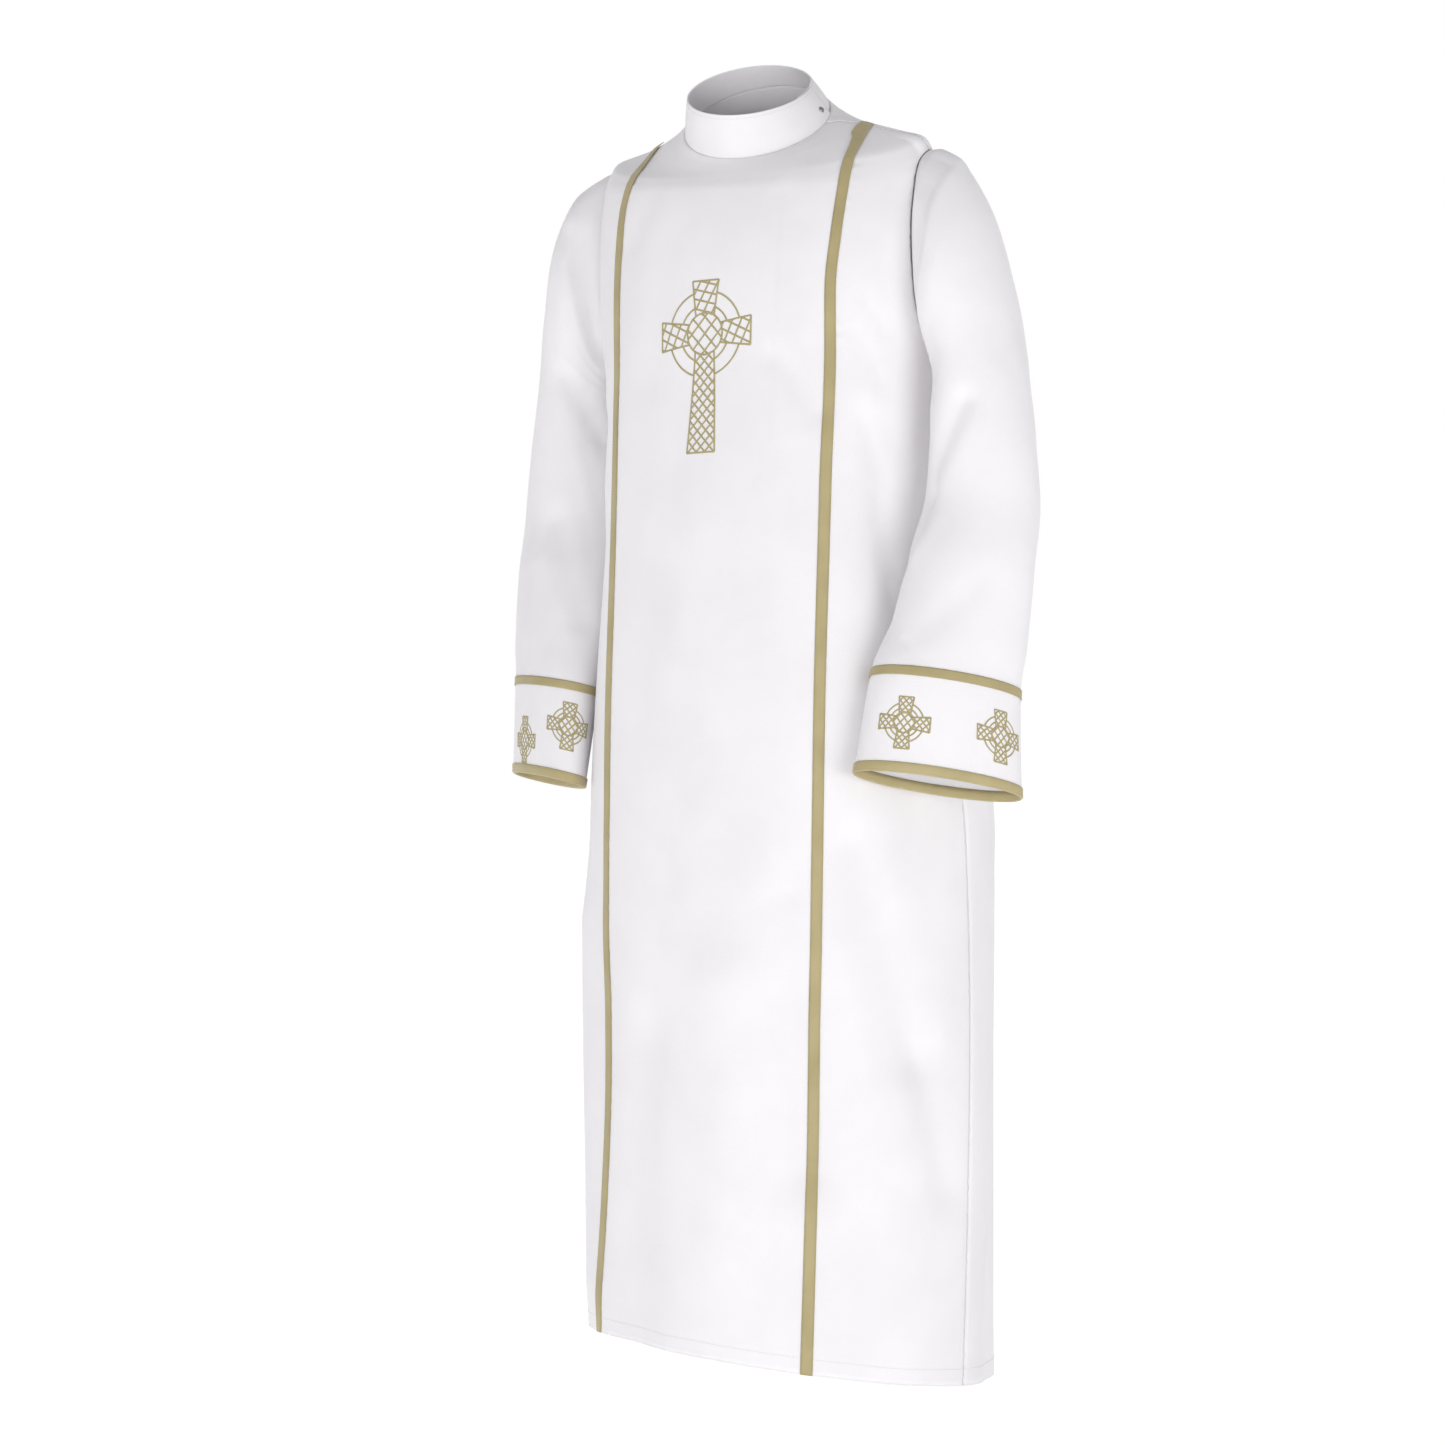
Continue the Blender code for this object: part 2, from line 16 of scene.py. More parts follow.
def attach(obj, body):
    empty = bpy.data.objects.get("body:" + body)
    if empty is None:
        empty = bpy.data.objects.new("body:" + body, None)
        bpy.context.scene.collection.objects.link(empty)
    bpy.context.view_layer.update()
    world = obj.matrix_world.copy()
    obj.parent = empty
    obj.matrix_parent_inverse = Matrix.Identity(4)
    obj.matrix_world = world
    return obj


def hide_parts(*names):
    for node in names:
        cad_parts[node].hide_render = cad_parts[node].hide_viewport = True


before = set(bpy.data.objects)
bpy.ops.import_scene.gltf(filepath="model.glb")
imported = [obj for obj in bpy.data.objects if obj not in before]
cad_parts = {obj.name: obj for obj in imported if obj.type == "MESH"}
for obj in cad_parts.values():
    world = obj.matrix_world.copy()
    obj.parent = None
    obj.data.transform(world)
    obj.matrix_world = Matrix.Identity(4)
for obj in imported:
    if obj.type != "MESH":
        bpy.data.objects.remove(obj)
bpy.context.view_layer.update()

log = logging.getLogger("alb")

Array = np.ndarray
Place = Callable[[Array, Array], tuple[Array, Array]]
Edges = Callable[[Array], tuple[Array, Array]]

# Half a step when a slope is measured, and how near a share counts as the first or the last row
STEP = 1e-4
EDGE = 1e-9
# Lengths in metres
SEAM_GAP = 0.0003
CLOTH = 0.0009
RIBBON = 0.0005
RIBBON_LIFT = 0.0004
EMBROIDERY = 0.0004
SLEEVE_RADIUS = 0.066


class Side(Enum):
    """The wearer's two sides, as the sign of X."""

    LEFT = 1
    RIGHT = -1

    @property
    def word(self) -> str:
        """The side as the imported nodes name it."""
        return self.name.lower()


def ease(share: Array) -> Array:
    """Smooth step from 0 to 1, level at both ends."""
    share = np.clip(share, 0, 1)
    return share * share * (3 - 2 * share)


def running(steps: Array) -> Array:
    """Sum of the steps up to each, from 0."""
    return np.concatenate([[0], np.cumsum(steps)])


def lengths_round(speed: Array, turns: Array) -> Array:
    """Distance round a ring up to each turn, from its metres for each unit of turn."""
    return running((speed[1:] + speed[:-1]) / 2 * np.diff(turns))


@dataclass(frozen=True)
class Table:
    """Rows of sizes under named columns, read along the first column by a curve that never swings past a row.

    Args:
        names: The columns' names, split by spaces.
        rows: The rows, in rising order of the first column.
    """

    names: str
    rows: tuple[tuple[float, ...], ...]

    def read(self, where: Array) -> dict[str, Array]:
        """Values of every column at the given values of the first.

        Args:
            where: Values of the first column.

        Returns:
            The columns by name.
        """
        where = np.asarray(where, float)
        values, slope = np.array(self.rows), self.slopes
        at = values[:, 0]
        i = np.clip(np.searchsorted(at, where) - 1, 0, len(at) - 2)
        span = (at[i + 1] - at[i])[..., None]
        t = (where - at[i])[..., None] / span
        read = (1 + 2 * t) * (1 - t) ** 2 * values[i] + t * (1 - t) ** 2 * span * slope[i]
        read = read + t * t * (3 - 2 * t) * values[i + 1] + t * t * (t - 1) * span * slope[i + 1]
        return {name: read[..., column] for column, name in enumerate(self.names.split())}

    @functools.cached_property
    def slopes(self) -> Array:
        """Slope of each column at each row."""
        values = np.array(self.rows)
        span = np.diff(values[:, :1], axis=0)
        rise = np.diff(values, axis=0) / span
        slope = np.zeros_like(values)
        slope[0], slope[-1] = rise[0], rise[-1]
        before, after = 2 * span[1:] + span[:-1], span[1:] + 2 * span[:-1]
        steady = rise[:-1] * rise[1:] > 0
        low, high = np.where(steady, rise[:-1], 1), np.where(steady, rise[1:], 1)
        slope[1:-1] = np.where(steady, (before + after) / (before / low + after / high), 0)
        return slope


@dataclass(frozen=True)
class Fold:
    """A soft ridge or trough between two places of a surface, each given by its two parameters.

    Args:
        start: First place, its second parameter in degrees.
        end: Last place.
        half_width: Distance from the fold's line at which it has mostly gone, in metres.
        height: Height in metres, below 0 for a trough.
        tapered: Whether the fold dies away towards both ends.
    """

    start: tuple[float, float]
    end: tuple[float, float]
    half_width: float
    height: float
    tapered: bool = False

    def lift(self, points: Array, first: Array, last: Array) -> Array:
        """How far the fold moves each point out.

        Args:
            points: Points on the surface without folds.
            first: Where the fold starts on it.
            last: Where it ends.

        Returns:
            The distance for each point, in metres.
        """
        along = last - first
        share = np.clip((points - first) @ along / (along @ along), 0, 1)
        away = np.linalg.norm(points - first - share[..., None] * along, axis=-1)
        height = self.height * np.exp(-((away / self.half_width) ** 2))
        return height * (1 - np.abs(2 * share - 1) ** 3) if self.tapered else height


def folds_from(rows: Sequence[tuple[float, ...]], tapered: bool = False) -> tuple[Fold, ...]:
    """Folds from a table of first and second parameter at both ends, half width and height."""
    return tuple(Fold(row[0:2], row[2:4], row[4], row[5], tapered) for row in rows)


def ripple(first: Array, second: Array, seed: int, size: float) -> Array:
    """Slow uneven waves that keep a cloth from lying dead flat.

    Args:
        first: Distance along the grain, in metres.
        second: Distance across it, in metres.
        seed: Seed of the waves' places.
        size: Wavelength across the grain, in metres.

    Returns:
        Waves of about 1 in height.
    """
    source = np.random.default_rng(seed)
    total = np.zeros(np.broadcast(first, second).shape)
    for _ in range(7):
        across = source.uniform(0.7, 1.6) * 2 * math.pi / size
        along = source.uniform(-0.3, 0.3) * across
        total += np.sin(second * across + first * along + source.uniform(0, 2 * math.pi)) / 7
    return total * 1.8


class Surface:
    """A surface of two parameters, with folds laid over its form."""

    turned: float = 1.0

    def form(self, first: Array, second: Array) -> Array:
        """The surface without folds."""
        raise NotImplementedError

    def relief(self, points: Array, first: Array, second: Array) -> Array:
        """How far folds and waves move each point of the form out."""
        return np.zeros(points.shape[:-1])

    @functools.cache
    def ends_of(self, fold: Fold) -> list[Array]:
        """Where a fold starts and where it ends."""
        ends = (fold.start, fold.end)
        return [self.form(np.array(first), np.array(math.radians(second))) for first, second in ends]

    def lift_of(self, folds: Sequence[Fold], points: Array) -> Array:
        """How far all the given folds move each point out."""
        return sum(fold.lift(points, *self.ends_of(fold)) for fold in folds)

    def normal_of(self, surface: Callable[[Array, Array], Array], first: Array, second: Array) -> Array:
        """Unit normal of a function of two parameters, outwards from the wearer.

        Args:
            surface: The function.
            first: First parameter.
            second: Second parameter.

        Returns:
            One unit vector for each place.
        """
        along_first = surface(first + STEP, second) - surface(first - STEP, second)
        along_second = surface(first, second + STEP) - surface(first, second - STEP)
        normal = np.cross(along_second, along_first) * self.turned
        return normal / np.linalg.norm(normal, axis=-1, keepdims=True)

    def at(self, first: Array, second: Array) -> Array:
        """Points of the folded surface."""
        first, second = np.broadcast_arrays(np.asarray(first, float), np.asarray(second, float))
        points = self.form(first, second)
        return points + self.normal_of(self.form, first, second) * self.relief(points, first, second)[..., None]

    def over(self, first: Array, second: Array, height: Array | float) -> Array:
        """Points that lie the given height above the folded surface."""
        points = self.at(first, second)
        if isinstance(height, float) and height == 0:
            return points
        return points + self.normal_of(self.at, first, second) * np.asarray(height)[..., None]

    def speed(self, first: Array, second: Array) -> tuple[Array, Array]:
        """Metres that the form moves for each unit of its first and of its second parameter."""
        by_first = self.form(first + STEP, second) - self.form(first - STEP, second)
        by_second = self.form(first, second + STEP) - self.form(first, second - STEP)
        return np.linalg.norm(by_first, axis=-1) / (2 * STEP), np.linalg.norm(by_second, axis=-1) / (2 * STEP)

    def walk(self, first: Array, second: Array, far: Array, aside: Array) -> tuple[Array, Array]:
        """Place reached from another by going some metres along each parameter.

        Args:
            first: First parameter of the start.
            second: Second parameter of the start.
            far: Metres to go along the first parameter.
            aside: Metres to go along the second.

        Returns:
            Both parameters of the place.
        """
        for _ in range(8):
            by_first, by_second = self.speed(first, second)
            first, second = first + far / 8 / by_first, second + aside / 8 / by_second
        return first, second


class BodySurface(Surface):
    """Body of the alb by level, and by angle from the front centre towards the wearer's left."""

    hem_level = -1.375
    armhole_x = 0.2045
    seam_top_x = 0.1355
    # Level below which no front seam reaches the shoulder seam
    shoulder_level = -0.0322
    # The facing's two edges in degrees, the level of its foot and its height
    facing_degrees = (20.2, 33)
    facing_foot = -0.376
    facing_height = 0.0009

    rows = Table(
        "level half_width front_y back_y side_y tilt lean squareness back_tilt",
        (
            (-1.3750, 0.2297, -0.1494, 0.3108, 0.0570, -0.167, -0.043, 0.000, -0.167),
            (-1.0000, 0.2386, -0.1350, 0.2977, 0.0570, -0.050, -0.020, 0.004, -0.050),
            (-0.8000, 0.2340, -0.1285, 0.2962, 0.0570, 0.000, 0.000, 0.018, 0.000),
            (-0.6000, 0.2080, -0.1188, 0.2500, 0.0540, 0.000, 0.000, 0.046, 0.000),
            (-0.4200, 0.1940, -0.1090, 0.2150, 0.0480, 0.000, 0.000, 0.052, 0.000),
            (-0.2800, 0.2030, -0.0982, 0.1900, 0.0420, 0.000, 0.000, 0.038, 0.000),
            (-0.2000, 0.2110, -0.0960, 0.1820, 0.0370, 0.040, -0.015, 0.034, 0.040),
            (-0.1250, 0.2140, -0.0890, 0.1680, 0.0320, 0.120, -0.040, 0.029, 0.110),
            (-0.0673, 0.2110, -0.0810, 0.1400, 0.0250, 0.230, -0.070, 0.016, 0.130),
            (-0.0322, 0.1990, -0.0735, 0.1120, 0.0180, 0.462, -0.056, 0.004, 0.110),
            (-0.0150, 0.1400, -0.0665, 0.0840, 0.0090, 0.636, -0.030, 0.000, 0.200),
            (-0.0060, 0.1079, -0.0625, 0.0680, 0.0030, 0.763, -0.060, 0.000, 0.500),
            (0.0000, 0.0885, -0.0603, 0.0603, 0.0000, 0.860, -0.140, 0.000, 0.860),
        ),
    )
    seams = Table(
        "level left right",
        (
            (-1.3750, 0.1340, 0.1360),
            (-1.2200, 0.1365, 0.1255),
            (-1.1000, 0.1380, 0.1220),
            (-1.0000, 0.1380, 0.1245),
            (-0.8900, 0.1395, 0.1310),
            (-0.6900, 0.1410, 0.1325),
            (-0.4200, 0.1405, 0.1315),
            (-0.3000, 0.1405, 0.1383),
            (-0.2000, 0.1408, 0.1380),
            (-0.1300, 0.1443, 0.1385),
            (-0.0900, 0.1458, 0.1374),
            (-0.0650, 0.1463, 0.1343),
            (-0.0450, 0.1462, 0.1322),
            (-0.0320, 0.1460, 0.1308),
            (-0.0230, 0.1448, 0.1318),
            (-0.0170, 0.1410, 0.1335),
            (-0.0130, seam_top_x, seam_top_x),
            (0.0000, seam_top_x, seam_top_x),
        ),
    )
    # Level and degrees at both ends, half width, height
    folds = folds_from(
        (
            (-0.860, 25, -1.150, 34, 0.024, -0.0060),
            (-0.960, 10, -1.230, 12, 0.042, 0.0065),
            (-1.080, 58, -1.330, 63, 0.045, 0.0070),
            (-0.800, 46, -1.025, 66, 0.024, -0.0055),
            (-1.025, 66, -1.160, 78, 0.024, -0.0050),
            (-0.277, 21, -0.338, 37, 0.014, -0.0030),
            (-0.350, 57, -0.540, 70, 0.020, -0.0050),
            (-0.340, -58, -0.520, -70, 0.020, -0.0045),
            (-0.480, 66, -0.780, 64, 0.050, -0.0075),
            (-0.480, -66, -0.780, -64, 0.050, -0.0075),
            (-0.900, -48, -1.320, -42, 0.038, 0.0060),
            (-1.020, -14, -1.370, -18, 0.034, -0.0055),
            (-0.760, 122, -1.370, 112, 0.045, -0.0070),
            (-0.520, 150, -1.370, 142, 0.048, 0.0080),
            (-0.600, 182, -1.370, 178, 0.040, -0.0075),
            (-0.500, 212, -1.370, 218, 0.048, 0.0080),
            (-0.780, 236, -1.370, 246, 0.042, -0.0065),
        )
    )
    fine_folds = folds_from(
        (
            (-0.036, 82, -0.036, 98, 0.022, 0.0050),
            (-0.330, 38, -0.262, 30, 0.006, -0.0012),
            (-0.335, 37, -0.300, 26, 0.007, 0.0010),
            (-0.200, 48, -0.260, 62, 0.010, -0.0015),
            (-0.240, 46, -0.330, 66, 0.012, -0.0018),
            (-0.300, 50, -0.400, 68, 0.010, 0.0014),
            (-0.120, 52, -0.190, 60, 0.012, -0.0012),
            (-0.060, 20, -0.130, 30, 0.016, -0.0014),
            (-0.050, -22, -0.150, -34, 0.018, -0.0016),
            (-0.220, -48, -0.320, -64, 0.012, -0.0016),
            (-0.280, -48, -0.400, -66, 0.012, -0.0016),
            (-0.420, 26, -0.760, 20, 0.030, 0.0020),
            (-0.450, -20, -0.800, -26, 0.032, -0.0018),
            (-0.560, 4, -0.920, -2, 0.030, 0.0018),
            (-0.880, 40, -1.080, 52, 0.012, 0.0018),
            (-0.990, 26, -1.300, 30, 0.018, 0.0016),
            (-1.120, 2, -1.370, 4, 0.020, -0.0016),
            (-1.150, 46, -1.370, 48, 0.018, -0.0020),
            (-0.100, 140, -0.260, 128, 0.020, -0.0030),
            (-0.100, 220, -0.260, 232, 0.020, -0.0030),
            (-0.160, 165, -0.420, 168, 0.030, 0.0025),
            (-0.160, 196, -0.420, 192, 0.030, -0.0025),
            (-0.300, 128, -0.560, 136, 0.022, -0.0030),
            (-0.300, 232, -0.560, 224, 0.022, -0.0030),
            (-0.700, 166, -1.370, 160, 0.022, 0.0030),
            (-0.700, 196, -1.370, 200, 0.022, 0.0030),
            (-0.800, 132, -1.370, 128, 0.020, -0.0030),
            (-0.800, 228, -1.370, 232, 0.020, -0.0030),
        ),
        tapered=True,
    )

    def form(self, level: Array, angle: Array) -> Array:
        """The body without folds."""
        level, angle = np.broadcast_arrays(np.asarray(level, float), np.asarray(angle, float))
        row = self.rows.read(level)
        square = row["squareness"]
        x = row["half_width"] * (np.sin(angle) + square * np.sin(3 * angle)) / (1 - square)
        ahead = (np.cos(angle) - square * np.cos(3 * angle)) / (1 - square)
        depth = np.where(ahead > 0, row["front_y"] - row["side_y"], row["side_y"] - row["back_y"])
        y = row["side_y"] + depth * ahead
        tilt = row["tilt"] + (row["back_tilt"] - row["tilt"]) * ease(0.5 - 1.5 * ahead)
        return np.stack([x, y, level + tilt * (y - row["side_y"]) + row["lean"] * x], axis=-1)

    def relief(self, points: Array, level: Array, angle: Array) -> Array:
        """Folds, slow waves, and the step over the facing behind the left front seam."""
        height = self.lift_of(self.folds + self.fine_folds, points)
        calm = ease((-0.02 - level) / 0.1)
        height = height + 0.0006 * calm * ripple(level, 0.2 * np.sin(angle) + 0.1 * np.cos(angle), 3, 0.09)
        degrees, (start, end) = np.degrees(angle), self.facing_degrees
        facing = ease(degrees - start) - ease((degrees - end) / 7)
        facing = facing * ease((level - self.facing_foot) / 0.012) * ease((-0.01 - level) / 0.03)
        return height + self.facing_height * facing

    def angle_at(self, level: Array, x: Array | float) -> Array:
        """Angle of the front half at which the body is x metres out, and a quarter turn where it never gets there."""
        row = self.rows.read(level)
        width, square = row["half_width"], row["squareness"]
        wanted = np.minimum(x * (1 - square) / width, 1 - square)
        sine = np.clip(x / width, 0, 1)
        for _ in range(12):
            error = (1 + 3 * square) * sine - 4 * square * sine**3 - wanted
            sine = np.clip(sine - error / np.maximum(1 + 3 * square - 12 * square * sine**2, 0.05), 0, 1)
        return np.arcsin(sine)

    def level_of_width(self, x: float, low: float, high: float, narrower_above: bool = True) -> float:
        """Level between low and high at which the half width is x."""
        for _ in range(50):
            middle = (low + high) / 2
            if (self.rows.read(np.array(middle))["half_width"] > x) == narrower_above:
                low = middle
            else:
                high = middle
        return low if narrower_above else high

    @functools.cached_property
    def armhole(self) -> tuple[float, float]:
        """Level of the armpit and of the armhole's top."""
        armpit = self.level_of_width(self.armhole_x, -0.40, -0.20, narrower_above=False)
        return armpit, self.level_of_width(self.armhole_x, -0.125, -0.015)

    @functools.cached_property
    def seam_end(self) -> float:
        """Level at which the front seams reach the shoulder seam."""
        return self.level_of_width(self.seam_top_x, self.shoulder_level, 0.0)

    def seam_x(self, level: Array, side: Side) -> Array:
        """How far out a front seam runs."""
        return self.seams.read(level)[side.word]

    def side_angle(self, level: Array) -> Array:
        """Angle of the side seam, the armhole edge or the shoulder seam, seen from the front."""
        armpit, top = self.armhole
        edge = self.angle_at(level, self.armhole_x)
        return np.where((level > armpit) & (level < top), edge, math.pi / 2)

    def gap_angle(self, level: Array, angle: Array) -> Array:
        """Half a seam gap as an angle."""
        return SEAM_GAP / 2 / self.speed(level, angle)[1]

    def levels(self, share: Array, to_neck: bool) -> Array:
        """Levels from the hem (0) up, closer together where the armhole and the shoulder seam turn.

        Args:
            share: Share of the rows, from 0 to 1.
            to_neck: Whether the rows go on from the shoulder seam's start to the neck.

        Returns:
            The level of each row.
        """
        armpit, top = self.armhole
        turns = np.linspace(math.pi, 0, 61)
        knots = [np.linspace(self.hem_level, armpit, 181)[:-1]]
        knots.append((armpit + top) / 2 + (top - armpit) / 2 * np.cos(turns))
        knots.append(self.seam_end - (1 - np.linspace(0, 1, 31)[1:]) ** 3 * (self.seam_end - top))
        if to_neck:
            knots.append(self.seam_end * (1 - np.linspace(0, 1, 13)[1:]))
        knots = np.concatenate(knots)
        return np.interp(share * (len(knots) - 1), np.arange(len(knots)), knots)


class SleeveSurface(Surface):
    """One sleeve by row of its table, and by turn from its outer side towards the front."""

    cuff_row = 9.0
    last_row = 10.0
    lean = -0.05
    # Fullness at the sleeve's head on top, and at its front and back
    head_fullness = {Side.LEFT: 0.0060, Side.RIGHT: 0.0020}
    side_fullness = 0.0030
    rows = Table(
        "row x y z half_width half_depth lift twist pitch",
        (
            (0, 0.2068, 0.0279, -0.1474, 0.1146, 0.0470, 90.1, 0.0, 0),
            (1, 0.2266, 0.0242, -0.1592, 0.1077, 0.0560, 82.5, 0.0, 0),
            (2, 0.2336, 0.0205, -0.1681, 0.1036, 0.0620, 79.7, 0.0, 0),
            (3, 0.2447, 0.0212, -0.1885, 0.0910, 0.0640, 72.0, 0.0, 0),
            (4, 0.2559, 0.0261, -0.2327, 0.0652, 0.0630, 53.3, 0.0, 0),
            (5, 0.2631, 0.0313, -0.2846, 0.0508, 0.0620, 24.9, 0.0, 0),
            (6, 0.2693, 0.0262, -0.4200, 0.0605, 0.0600, 0.0, 14.6, 0),
            (7, 0.2648, 0.0050, -0.5000, 0.0695, 0.0560, 0.0, 23.3, 5),
            (8, 0.2614, -0.0157, -0.5800, 0.0744, 0.0500, 0.0, 30.3, 9),
            (9, 0.2562, -0.0300, -0.6280, 0.0794, 0.0450, 0.0, 34.8, 12),
            (10, 0.2559, -0.0465, -0.7340, 0.0895, 0.0370, 0.0, 38.0, 15),
        ),
    )
    # Row and degrees at both ends, half width, height
    folds = {
        Side.LEFT: folds_from(
            (
                (6.05, 148, 5.40, 84, 0.014, -0.0060),
                (6.10, 146, 7.00, 170, 0.015, -0.0060),
                (7.00, 170, 7.80, 182, 0.016, -0.0045),
                (2.20, 250, 4.80, 205, 0.020, -0.0050),
                (6.90, 300, 8.40, 250, 0.022, -0.0045),
            )
        ),
        Side.RIGHT: folds_from(
            (
                (1.60, 63, 0.80, 138, 0.018, -0.0050),
                (4.60, 112, 5.40, 165, 0.015, -0.0055),
                (6.20, 120, 7.60, 165, 0.018, -0.0045),
                (2.20, 250, 4.80, 205, 0.020, -0.0050),
                (6.60, 305, 8.20, 255, 0.022, -0.0045),
            )
        ),
    }
    fine_folds = {
        Side.LEFT: folds_from(
            (
                (9.00, 61, 10.10, 69, 0.0034, -0.0011),
                (0.40, 60, 2.60, 95, 0.010, -0.0018),
                (0.60, 100, 3.40, 128, 0.012, 0.0016),
                (3.60, 120, 5.30, 140, 0.014, -0.0020),
                (5.10, 160, 6.10, 120, 0.009, 0.0018),
                (6.30, 118, 7.20, 150, 0.010, 0.0016),
                (7.10, 60, 8.60, 130, 0.016, -0.0022),
                (8.20, 140, 8.90, 110, 0.008, -0.0016),
                (5.60, 330, 7.10, 290, 0.018, -0.0024),
                (5.90, 240, 6.70, 210, 0.012, -0.0024),
            ),
            tapered=True,
        ),
        Side.RIGHT: folds_from(
            (
                (0.40, 60, 2.20, 90, 0.010, -0.0018),
                (3.00, 120, 4.60, 150, 0.012, -0.0020),
                (5.30, 120, 6.30, 165, 0.010, 0.0018),
                (6.80, 100, 8.40, 140, 0.016, -0.0022),
                (7.60, 60, 8.80, 100, 0.014, -0.0016),
                (5.60, 330, 7.10, 290, 0.018, -0.0024),
                (5.90, 240, 6.70, 210, 0.012, -0.0024),
            ),
            tapered=True,
        ),
    }

    def __init__(self, side: Side, body: BodySurface) -> None:
        """Sleeve of one side, whose first rows are drawn onto the body's armhole."""
        self.side = side
        self.turned = float(side.value)
        self.body = body
        self.dip = math.radians(-9) if side is Side.LEFT else 0.0

    def ovals(self, row: Array, turn: Array) -> Array:
        """Oval sections, before the first rows are drawn onto the armhole."""
        size = self.rows.read(row)
        dip = self.dip * ease((row - 6) / 3)
        lift, twist, pitch = np.radians(size["lift"]) + dip, np.radians(size["twist"]), np.radians(size["pitch"])
        across = np.stack([np.cos(lift) * np.cos(twist), np.cos(lift) * np.sin(twist), np.sin(lift)], axis=-1)
        ahead = np.stack([np.sin(twist) * np.cos(pitch), -np.cos(twist) * np.cos(pitch), np.sin(pitch)], axis=-1)
        points = np.stack([size["x"], size["y"], size["z"]], axis=-1)
        points = points + (size["half_width"] * np.cos(turn))[..., None] * across
        points = (points + (size["half_depth"] * np.sin(turn))[..., None] * ahead) * np.array([self.side.value, 1, 1])
        points[..., 2] += self.lean * points[..., 0] * ease((points[..., 2] + 0.35) / 0.3)
        return points

    @functools.cached_property
    def armhole_ring(self) -> tuple[Array, Array]:
        """Turns, and the edge of the body's armhole there, moved out by the seam gap."""
        turn = np.linspace(-math.pi, 3 * math.pi, 2881)
        armpit, top = self.body.armhole
        level = np.clip((armpit + top) / 2 + (top - armpit) / 2 * np.cos(turn), armpit + 1e-12, top - 1e-12)
        front = self.body.angle_at(level, self.body.armhole_x)
        angle = np.where(np.sin(turn) >= 0, front, math.pi - front)
        points = self.body.at(level, angle * self.side.value)
        points[..., 0] += self.side.value * SEAM_GAP
        return turn, points

    def form(self, row: Array, turn: Array) -> Array:
        """The sleeve without folds."""
        row, turn = np.broadcast_arrays(np.asarray(row, float), np.asarray(turn, float))
        fade = (1 - ease(row / 2.5))[..., None]
        points = self.ovals(row, turn)
        turns, edge = self.armhole_ring
        edge = np.stack([np.interp(turn, turns, edge[:, axis]) for axis in range(3)], axis=-1)
        return points + fade * (edge - self.ovals(np.zeros_like(row), turn))

    def relief(self, points: Array, row: Array, turn: Array) -> Array:
        """Folds, slow waves, and the sleeve head's fullness at the armhole seam."""
        height = self.lift_of(self.folds[self.side] + self.fine_folds[self.side], points)
        height = height + 0.0005 * ripple(points[..., 2], points[..., 0] - points[..., 1], 11 + self.side.value, 0.07)
        head = self.head_fullness[self.side] * ease((np.cos(turn) - 0.1) / 0.5)
        fullness = head + self.side_fullness * np.sin(turn) ** 2
        fullness = fullness * ease(row / 0.35) * ease((2.6 - row) / 2.2)
        return height * ease((row - 0.02) / 0.8) + fullness

    @functools.cached_property
    def lengths(self) -> tuple[Array, Array]:
        """Rows, and the length of sleeve down to each."""
        rows = np.linspace(0, self.last_row, 201)
        size = self.rows.read(rows)
        centres = np.stack([size["x"], size["y"], size["z"]], axis=-1)
        return rows, running(np.linalg.norm(np.diff(centres, axis=0), axis=1))

    def rows_between(self, start: float, end: float, share: Array) -> Array:
        """Rows from start to end, evenly spaced along the sleeve."""
        rows, length = self.lengths
        low, high = np.interp([start, end], rows, length)
        return np.interp(low + share * (high - low), length, rows)

    def length_to(self, row: Array) -> Array:
        """Length of sleeve down to a row, in metres."""
        return np.interp(row, *self.lengths)


class CollarSurface(Surface):
    """Standing collar by share of its height and by angle, whose first part runs inside the end that laps over it."""

    start, end = 80.0, 465.0
    rise = 0.0009
    tuck = 0.045
    underlap = 0.0021
    # Mean radius, and height of the band, by which its pattern is measured
    radius = 0.08
    tall = 0.045
    # Stitches: share of the height, radius there, and degrees left free at the start and in all
    stitch_share = 0.90
    stitch_radius = 0.0745
    stitch_inset = 26
    stitch_free = 30
    base = np.array([0.0, 0.0, 0.0, 0.0880, 0.0792, 0.7098, -0.14])
    top = np.array([-0.0016, -0.0136, 0.0316, 0.0721, 0.0728, 0.5683, -0.1893])

    def form(self, share: Array, angle: Array) -> Array:
        """The collar's outer face."""
        share, angle = np.broadcast_arrays(np.asarray(share, float), np.asarray(angle, float))
        ring = self.base + share[..., None] * (self.top - self.base)
        under = self.underlap * (1 - ease((np.degrees(angle) - self.end + 360) / 30))
        across = np.stack([np.ones_like(share), np.zeros_like(share), ring[..., 6]], axis=-1)
        ahead = np.stack([np.zeros_like(share), -np.cos(ring[..., 5]), -np.sin(ring[..., 5])], axis=-1)
        points = ring[..., :3] + ((ring[..., 3] - under) * np.sin(angle))[..., None] * across
        points = points + ((ring[..., 4] - under) * np.cos(angle))[..., None] * ahead
        points[..., 2] += self.rise
        return points

    def relief(self, points: Array, share: Array, angle: Array) -> Array:
        """A slight bulge between seam and edge, and slow waves."""
        free = np.sin(np.clip(share, 0, 1) * math.pi)
        return 0.0004 * free + 0.0003 * free * ripple(share * 0.04, angle * 0.08, 21, 0.06)


